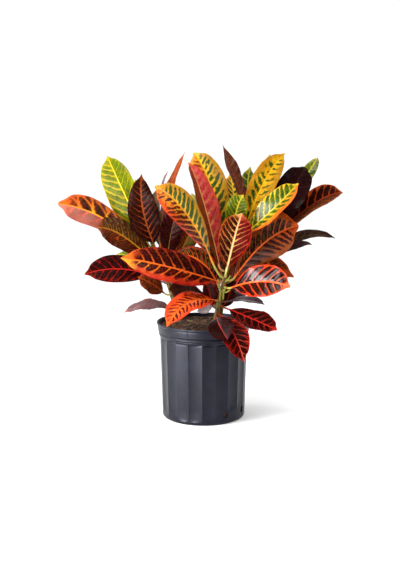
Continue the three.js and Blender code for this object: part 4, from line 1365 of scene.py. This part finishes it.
@dataclass
class Pot:
    """The fluted nursery pot, carried round its axis from two profiles, in millimetres."""

    outside: Sequence[tuple[float, float]] = (
        (98.5, 0), (102.3, 2), (103.8, 7), (103.8, 12), (103.9, 17), (108.9, 199), (109, 204), (109.5, 207),
        (112, 209.5), (112, 213), (110.4, 215), (113.4, 217.5), (114.7, 232), (114.3, 234), (116.6, 235.5),
        (117.5, 238), (116.4, 240),
    )
    inside: Sequence[tuple[float, float]] = (
        (114.2, 240), (112.4, 236.5), (105.6, 208), (100.4, 12), (96.5, 4.8)
    )
    floor: float = 5
    wall_radius: float = 110
    flutes: int = 20
    flute_depth: float = 2.6
    flute_foot: float = 8
    flute_top: float = 204
    flute_runout: tuple[float, float] = (24, 5)
    lip_rise: float = 0.8
    lip_height: float = 205.4
    seams_deg: tuple[float, float] = (-20, 160)
    seam_rise: float = 0.45
    pad_height: float = 38
    drains_deg: tuple[float, ...] = (31, 67, 211, 247)
    drain: tuple[float, float] = (14, 18)
    drain_height: float = 25
    drain_sides: int = 40
    drill_reach: tuple[float, float] = (90, 116)
    steps: int = 240

    BESIDE_SEAM = (0.35, 0.7, 1.2, 2.4)

    def profile(self, corners: Sequence[tuple[float, float]], step: float) -> np.ndarray:
        """A profile with its corners eased and points no further apart than a step.

        Args:
            corners: radius and height of each corner.
            step: the greatest spacing.

        Returns:
            Radius and height, one row each.
        """
        points = [np.array(corners[0], float)]
        for before, corner, after in zip(corners, corners[1:], corners[2:]):
            here = np.array(corner, float)
            for other in (before, after):
                toward = np.array(other, float) - here
                points.append(here + toward * min(0.3, 0.6 / np.linalg.norm(toward)))
        points.append(np.array(corners[-1], float))
        spaced = [points[0]]
        for point in points[1:]:
            count = max(1, math.ceil(np.linalg.norm(point - spaced[-1]) / step))
            start = spaced[-1]
            spaced += [start + (point - start) * k / count for k in range(1, count + 1)]
        return np.array(spaced)

    def angles(self) -> np.ndarray:
        """Where the wall's points stand round the axis, with more of them beside each mould line.

        Returns:
            Their angles, in radians.
        """
        even = np.radians(self.seams_deg[0]) + round_turn(self.steps)
        beside = np.array([side * away for side in (-1, 1) for away in self.BESIDE_SEAM]) / self.wall_radius
        more = [np.radians(seam) + beside for seam in self.seams_deg]
        return np.unique(np.concatenate([even, *more]).round(6))

    def pads(self, angle: np.ndarray, height: np.ndarray) -> np.ndarray:
        """The flat pads that the drain holes go through.

        Args:
            angle: the angle of each point.
            height: its height.

        Returns:
            1 on a pad and 0 beside it.
        """
        pads = np.zeros_like(angle)
        for first, last in (self.drains_deg[:2], self.drains_deg[2:]):
            middle, half = math.radians((first + last) / 2), math.radians((last - first) / 2 - 4)
            near = ease(half + 0.02, half, away_from(middle, angle))
            pads = np.maximum(pads, near * ease(self.pad_height, self.pad_height - 2, height))
        return pads

    def seams(self, angle: np.ndarray, height: np.ndarray) -> np.ndarray:
        """The mould lines, which stop short of the foot and the rim.

        Args:
            angle: the angle of each point.
            height: its height.

        Returns:
            1 on a line and 0 beside it.
        """
        away = [away_from(math.radians(seam), angle) * self.wall_radius for seam in self.seams_deg]
        near = np.exp(-((np.minimum(*away) / 0.6) ** 2))
        return near * ease(3, 8, height) * ease(239.8, 239, height)

    def dip(self, angle: np.ndarray, height: np.ndarray) -> np.ndarray:
        """How far flutes, lips and mould lines press the wall in.

        Args:
            angle: the angle of each point.
            height: its height.

        Returns:
            The depth, which is negative where the wall stands out.
        """
        foot, top = self.flute_runout
        ends = np.minimum((height - self.flute_foot) / foot, (self.flute_top - height) / top)
        turns = (angle - math.radians(self.seams_deg[0])) * self.flutes / (2 * math.pi)
        across = 2 * (turns % 1) - 1
        scoop = 1 + 0.7 * np.exp(-(((self.flute_top - 3.2 - height) / 2.0) ** 2))
        flute = self.flute_depth * np.sqrt(np.clip(ends, 0, 1)) * scoop * (1 - across**2)
        lip = self.lip_rise * np.exp(-(((height - self.lip_height) / 0.9) ** 2)) * (1 - across**4)
        return flute * (1 - 0.9 * self.pads(angle, height)) - lip - self.seam_rise * self.seams(angle, height)

    def build(self) -> bpy.types.Object:
        """Makes the pot with its drain holes.

        Returns:
            The pot's object.
        """
        outer, inner = self.profile(self.outside, step=5), self.profile(self.inside, step=12)
        heights = np.union1d(outer[:, 1], np.arange(self.flute_top - 10, self.flute_top + 4, 0.7))
        outer = np.column_stack([np.interp(heights, outer[:, 1], outer[:, 0]), heights])
        profile = np.vstack([outer, inner])
        angles = self.angles()
        angle, height = np.meshgrid(angles, profile[:, 1])
        radius = np.repeat(profile[:, :1], len(angles), axis=1)
        radius[: len(outer)] -= self.dip(angle, height)[: len(outer)]
        rings = np.stack([radius * np.sin(angle), -radius * np.cos(angle), height], axis=-1)
        points = np.vstack([rings.reshape(-1, 3), [[0, 0, 0], [0, 0, self.floor]]])
        faces = tube_faces(len(profile), len(angles), capped=False)
        under, over, last = len(points) - 2, len(points) - 1, (len(profile) - 1) * len(angles)
        for k in range(len(angles)):
            after = (k + 1) % len(angles)
            faces.append((under, after, k))
            faces.append((over, last + k, last + after))
        made = piece(smooth_mesh("nursery_pot", points, faces), "pot", "pot")
        self.drill(made)
        made.data.materials.append(PotFinish().material())
        LOG.info("%s: %d faces", made.name, len(made.data.polygons))
        return made

    def drill(self, pot: bpy.types.Object) -> None:
        """Cuts the drain holes through the wall.

        Args:
            pot: the pot's object, whose mesh is replaced by the cut one.
        """
        turn = round_turn(self.drain_sides)[:, None]
        centre = np.array([0, 0, self.drain_height])
        wide, tall = np.array(self.drain) / 2
        bits = []
        for way in np.radians(self.drains_deg):
            out = np.array([math.sin(way), -math.cos(way), 0])
            beside = np.array([math.cos(way), math.sin(way), 0])
            ring = centre + wide * np.cos(turn) * beside + tall * np.sin(turn) * np.array([0, 0, 1.0])
            bit = np.vstack([ring + out * reach for reach in self.drill_reach])
            bits.append((bit, tube_faces(2, self.drain_sides)))
        cutter = bpy.data.objects.new("drill", smooth_mesh("drill", *joined(bits)))
        bpy.context.scene.collection.objects.link(cutter)
        cut = pot.modifiers.new("drains", "BOOLEAN")
        cut.operation, cut.solver, cut.object = "DIFFERENCE", "EXACT", cutter
        ready = pot.evaluated_get(bpy.context.evaluated_depsgraph_get())
        drilled = bpy.data.meshes.new_from_object(ready)
        pot.modifiers.clear()
        whole, pot.data = pot.data, drilled
        bpy.data.meshes.remove(whole)
        bpy.data.objects.remove(cutter, do_unlink=True)
        drilled.name = "nursery_pot"
        drilled.set_sharp_from_angle(angle=math.radians(18))


# The potting mix


@dataclass(frozen=True)
class SoilFinish:
    """Dark crumbly bark and peat; each chip and root has its own tone."""

    def material(self) -> bpy.types.Material:
        """Mixes earth and chips by the tone that each of them has.

        Returns:
            The potting mix's material.
        """
        tree = Tree("crumbly_mix")
        coarse, fine, tone = tree.noise(6, 5), tree.noise(1.4, 4, 7.0), tree.value("tone")
        earth = tree.blend(coarse.step(0.4, 0.62), Pigment.INK, Pigment.UMBER)
        earth = tree.blend(fine.step(0.52, 0.7) * 0.35, earth, Pigment.EARTH)
        chip = tree.blend(tone.step(0.1, 0.5), Pigment.SOOT, Pigment.EARTH)
        chip = tree.blend(tone.step(0.5, 1.0), chip, Pigment.STRAW)
        chip = tree.blend(coarse.step(0.45, 0.6) * 0.5, chip, Pigment.UMBER)
        colour = tree.blend(tone.step(0.0, 0.08), earth, chip)
        # Painted shade: the mix's sides, which show through the drain holes, go near black.
        colour = tree.blend(tone.step(0.0, -1.0), colour, Pigment.INK)
        normal = tree.bump(fine, 1.2, tree.bump(coarse, 2.0))
        return tree.surface(colour, Roughness=tree.between(fine, 0.75, 1.0), Normal=normal)


@dataclass
class PottingMix:
    """The potting mix: a lumpy mound with bark chips and thin roots lying on it, in millimetres."""

    edge: tuple[tuple[float, float], ...] = ((96.2, 5.3), (100.1, 12.3), (105.3, 208), (109.9, 231))
    height: float = 231
    mound: float = 5
    rings: int = 46
    steps: int = 180
    chips: int = 1500
    chip_reach: float = 103
    chip_sides: int = 6
    roots: int = 60
    root_reach: float = 92
    root_step: float = 3.2
    root_limit: float = 104
    dice: np.random.Generator = field(default_factory=lambda: np.random.default_rng(11))

    CHIP_TONES = (0.09, 0.12, 0.2, 0.3, 0.45, 0.75)
    ROOT_TONES = (0.45, 0.7, 1.0)
    EARTH_TONE = 0.0
    # The tone of the mix's sides, painted near black as shade in the drain holes.
    DRAIN_SHADE_TONE = -1.0

    def top(self, x: np.ndarray, y: np.ndarray) -> np.ndarray:
        """Height of the mix's surface above a place on the floor.

        Args:
            x: the place's distance to the right.
            y: its distance to the back.

        Returns:
            The height.
        """
        share = np.clip(np.hypot(x, y) / self.edge[-1][0], 0, 1)
        angle = np.arctan2(x, -y)
        swell = np.sin(5 * angle + 3 * share) * np.sin(9 * share) + 0.6 * np.sin(11 * angle - 7 * share)
        crumbs = np.sin(x * 0.31 + 1.3 * np.sin(y * 0.21)) * np.sin(y * 0.37 + 1.1 * np.sin(x * 0.17))
        crumbs = crumbs + 0.6 * np.sin(x * 0.83 + y * 0.29) * np.sin(y * 0.71 - x * 0.23)
        rise = self.mound * (1 - share**2) + 1.1 * swell * share * (1 - share**6)
        return self.height + rise + 0.9 * crumbs * (1 - share**8)

    def ground(self) -> Shape:
        """The filled body of the mix, whose surface is a mound.

        Returns:
            Its points and faces.
        """
        angle = round_turn(self.steps)
        around = np.stack([np.sin(angle), -np.cos(angle)], axis=-1)
        rings = []
        for radius, height in self.edge:
            rings.append(np.column_stack([around * radius, np.full(self.steps, height)]))
        for share in np.linspace(1, 0, self.rings)[1:-1]:
            flat = around * self.edge[-1][0] * share
            rings.append(np.column_stack([flat, self.top(flat[:, 0], flat[:, 1])]))
        return np.vstack(rings), tube_faces(len(rings), self.steps)

    def build(self) -> bpy.types.Object:
        """Makes the mix with what lies on it.

        Returns:
            The potting mix's object.
        """
        ground = self.ground()
        lying = [self.chip() for _ in range(self.chips)] + [self.root() for _ in range(self.roots)]
        # The mix's sides, which are painted as shade.
        shaded_sides = ground[0][:, 2] < self.height - 20
        tones = [np.where(shaded_sides, self.DRAIN_SHADE_TONE, self.EARTH_TONE)]
        tones += [np.full(len(points), tone) for (points, _), tone in lying]
        mesh = smooth_mesh("bark_and_peat", *joined([ground, *(shape for shape, _ in lying)]))
        mesh.set_sharp_from_angle(angle=math.radians(40))
        lay_values(mesh, tone=np.concatenate(tones))
        mesh.materials.append(SoilFinish().material())
        made = piece(mesh, "potting_mix", "potting_mix")
        LOG.info("%s: %d chips, %d roots", made.name, self.chips, self.roots)
        return made

    def spot(self, reach: float) -> np.ndarray:
        """A place on the mix's surface.

        Args:
            reach: how far from the middle it may be.

        Returns:
            The place.
        """
        radius, angle = reach * math.sqrt(self.dice.random()), self.dice.uniform(0, 2 * math.pi)
        place = np.array([radius * math.sin(angle), -radius * math.cos(angle)])
        return np.append(place, self.top(place[:1], place[1:])[0])

    def chip(self) -> tuple[Shape, float]:
        """One splinter of bark, lying at a slant.

        Returns:
            Its points and faces, and its tone.
        """
        draw, sides = self.dice.uniform, self.chip_sides
        long, wide, thick = draw(2, 7), draw(0.5, 1.9), draw(0.4, 1.2)
        turn = round_turn(sides)
        ring = np.column_stack([long * np.cos(turn), wide * np.sin(turn)]) * draw(0.6, 1.1, (sides, 1))
        low = np.column_stack([ring, np.full(sides, -thick)])
        high = np.column_stack([ring * draw(0.6, 0.95), draw(0.3, 1, sides) * thick])
        spin, tilt = draw(0, 2 * math.pi), draw(-0.5, 0.5)
        across, along = (math.cos(spin), -math.sin(spin), 0), (math.sin(spin), math.cos(spin), 0)
        under, over = (math.cos(tilt), 0, -math.sin(tilt)), (math.sin(tilt), 0, math.cos(tilt))
        turned = np.array([across, along, (0, 0, 1)]) @ np.array([under, (0, 1, 0), over])
        place = self.spot(self.chip_reach) + [0, 0, draw(-0.2, 0.9)]
        points = np.vstack([low, high]) @ turned.T + place
        return (points, tube_faces(2, sides)), self.dice.choice(self.CHIP_TONES)

    def root(self) -> tuple[Shape, float]:
        """One thin root that wanders over the surface.

        Returns:
            Its points and faces, and its tone.
        """
        start, way = self.spot(self.root_reach), self.dice.uniform(0, 2 * math.pi)
        path = [start[:2]]
        for _ in range(int(self.dice.integers(6, 16))):
            way += self.dice.normal(0, 0.35)
            path.append(path[-1] + self.root_step * np.array([math.cos(way), math.sin(way)]))
        flat = np.array([p * min(1, self.root_limit / np.hypot(*p)) for p in path])
        lift = 0.6 + 1.4 * np.abs(np.sin(np.arange(len(flat)) * self.dice.uniform(0.3, 0.8)))
        line = np.column_stack([flat, self.top(flat[:, 0], flat[:, 1]) + lift])
        thick = self.dice.uniform(0.3, 0.75) * (1 - 0.6 * np.linspace(0, 1, len(line)))
        return twig(line, thick, sides=6), self.dice.choice(self.ROOT_TONES)


# The studio


@dataclass(frozen=True)
class Panel:
    """One soft panel of light: place, size in millimetres, power in watts and the point that it faces.

    The spread is the angle that its light keeps within. A panel may be hidden from matt surfaces, or
    from the mirror images in glossy ones.
    """

    name: str
    at: Point
    size: tuple[float, float]
    power: float
    towards: Point
    spread_deg: float = 180
    matt: bool = True
    glossy: bool = True

    def build(self) -> None:
        """Hangs the panel."""
        lamp = bpy.data.lights.new(self.name, "AREA")
        lamp.shape, lamp.energy = "RECTANGLE", self.power
        lamp.size, lamp.size_y = self.size[0] * MM, self.size[1] * MM
        lamp.spread = math.radians(self.spread_deg)
        made = bpy.data.objects.new(self.name, lamp)
        made.visible_diffuse, made.visible_glossy = self.matt, self.glossy
        made.location = Vector(self.at) * MM
        made.rotation_mode = "QUATERNION"
        made.rotation_quaternion = (Vector(self.towards) - Vector(self.at)).to_track_quat("-Z", "Y")
        bpy.context.scene.collection.objects.link(made)


@dataclass
class Studio:
    """A pale sweep behind the plant, soft lights and the camera at the photograph's place."""

    place: Point = (-8.8, -2220.0, 687.0)
    down_deg: float = 9.1
    lens: float = 57.1
    film: float = 36
    wide: float = 9000
    front: float = -5000
    back: float = 2600
    bend: float = 900
    wall_top: float = 6000
    daylight: float = 0.12

    BEND_STEPS = 16
    PANELS = (
        Panel("key", (-1900, -1500, 2000), (700, 700), 21, (0, 0, 350)),
        Panel("side", (-1050, -500, 750), (500, 500), 20, (-350, -350, 100)),
        Panel("low", (-1000, -1110, 230), (1100, 400), 60, (0, 0, 130), matt=False),
        Panel("fill", (950, 0, 480), (500, 500), 1.2, (260, 0, 0), spread_deg=80, glossy=False),
        Panel("top", (-500, -800, 2600), (2200, 1600), 46, (0, 0, 350)),
        Panel("front", (900, -2400, 2000), (1200, 700), 8, (0, 0, 350)),
        Panel("edge", (-1800, 600, 700), (300, 1400), 14, (0, 0, 200)),
        Panel("wall", (0, 900, 3400), (3000, 500), 88, (0, 3300, 1200)),
    )

    def backdrop(self) -> None:
        """Lays the floor, which sweeps up into a wall behind the plant and glows faintly: painted light that
        lifts the shadows on it.
        """
        line = [(self.front, 0.0), (self.back, 0.0)]
        for turn in np.linspace(0, math.pi / 2, self.BEND_STEPS + 1)[1:]:
            line.append((self.back + self.bend * math.sin(turn), self.bend * (1 - math.cos(turn))))
        line.append((self.back + self.bend, self.wall_top))
        points = np.array([(x, y, z) for y, z in line for x in (-self.wide / 2, self.wide / 2)])
        faces = [(2 * k, 2 * k + 1, 2 * k + 3, 2 * k + 2) for k in range(len(line) - 1)]
        floor = bpy.data.objects.new("sweep", smooth_mesh("sweep", points, faces))
        bpy.context.scene.collection.objects.link(floor)
        tree = Tree("paper")
        shade = tree.between(tree.noise(900, 1), 0.88, 0.92)
        colour = tree.nodes.new("ShaderNodeCombineColor")
        for socket in colour.inputs:
            tree.put(socket, shade)
        grey = Signal(tree, colour.outputs[0])
        # The paper glows faintly: painted light that lifts the shadows cast on it.
        paper = tree.surface(grey, Roughness=0.9, Specular_IOR_Level=0.1, Emission_Strength=0.08)
        floor.data.materials.append(paper)

    def camera(self) -> None:
        """Sets up the camera at the photograph's place."""
        lens = bpy.data.cameras.new("camera")
        lens.lens, lens.sensor_width = self.lens, self.film
        camera = bpy.data.objects.new("camera", lens)
        camera.location = Vector(self.place) * MM
        camera.rotation_euler = (math.radians(90 - self.down_deg), 0, 0)
        bpy.context.scene.collection.objects.link(camera)
        bpy.context.scene.camera = camera

    def build(self) -> None:
        """Sets up the sweep, the surroundings, the lights and the camera."""
        self.backdrop()
        world = bpy.data.worlds.new("daylight")
        world.use_nodes = True
        sky = world.node_tree.nodes["Background"]
        sky.inputs["Color"].default_value = (1, 1, 1, 1)
        sky.inputs["Strength"].default_value = self.daylight
        bpy.context.scene.world = world
        for panel in self.PANELS:
            panel.build()
        bpy.context.scene.view_settings.view_transform = "Standard"
        self.camera()
        LOG.info("studio: %d panels of light", len(self.PANELS))


STEMS = {
    "front": Stem(
        "front", ((16, 20, 150), (30, 15, 235), (41, 12, 292), (52, 8, 340), (66, 8, 400), (80, 8, 462)),
        (8, 4.6),
        stubs=(
            ((41, 6, 288), (41, 2, 300), (43, 3, 317)), ((49, 6, 294), (50, 1, 304), (50, 2, 320)),
            ((46, 6, 314), (40, 2, 318), (35, 0, 332)), ((49, 6, 312), (52, -1, 316), (56, -4, 328)),
            ((52, 5, 312), (60, 0, 312), (66, -3, 321)), ((55, 4, 340), (60, -2, 343), (66, -8, 356)),
            ((43, 6, 322), (38, 4, 330), (36, 4, 345)),
        ),
    ),
    "left": Stem(
        "left", ((-56, 36, 150), (-66, 38, 235), (-80, 42, 300), (-104, 50, 365), (-132, 60, 432)), (7.5, 4.4)
    ),
    "right": Stem(
        "right", ((38, 50, 150), (42, 52, 235), (51, 55, 290), (74, 62, 345), (115, 68, 392), (163, 76, 446)),
        (7, 4.4),
    ),
}


def main() -> None:
    """Builds the pot, the mix, the stems and the leaves, then the studio."""
    logging.basicConfig(level=logging.INFO, format="%(message)s")
    Pot().build()
    PottingMix().build()
    bark = BarkFinish().material()
    for name, stem in STEMS.items():
        stem.build().data.materials.append(bark)
        for leaf in FOLIAGE[name]:
            leaf.build(stem)
    Studio().build()


if __name__ == "__main__":
    main()
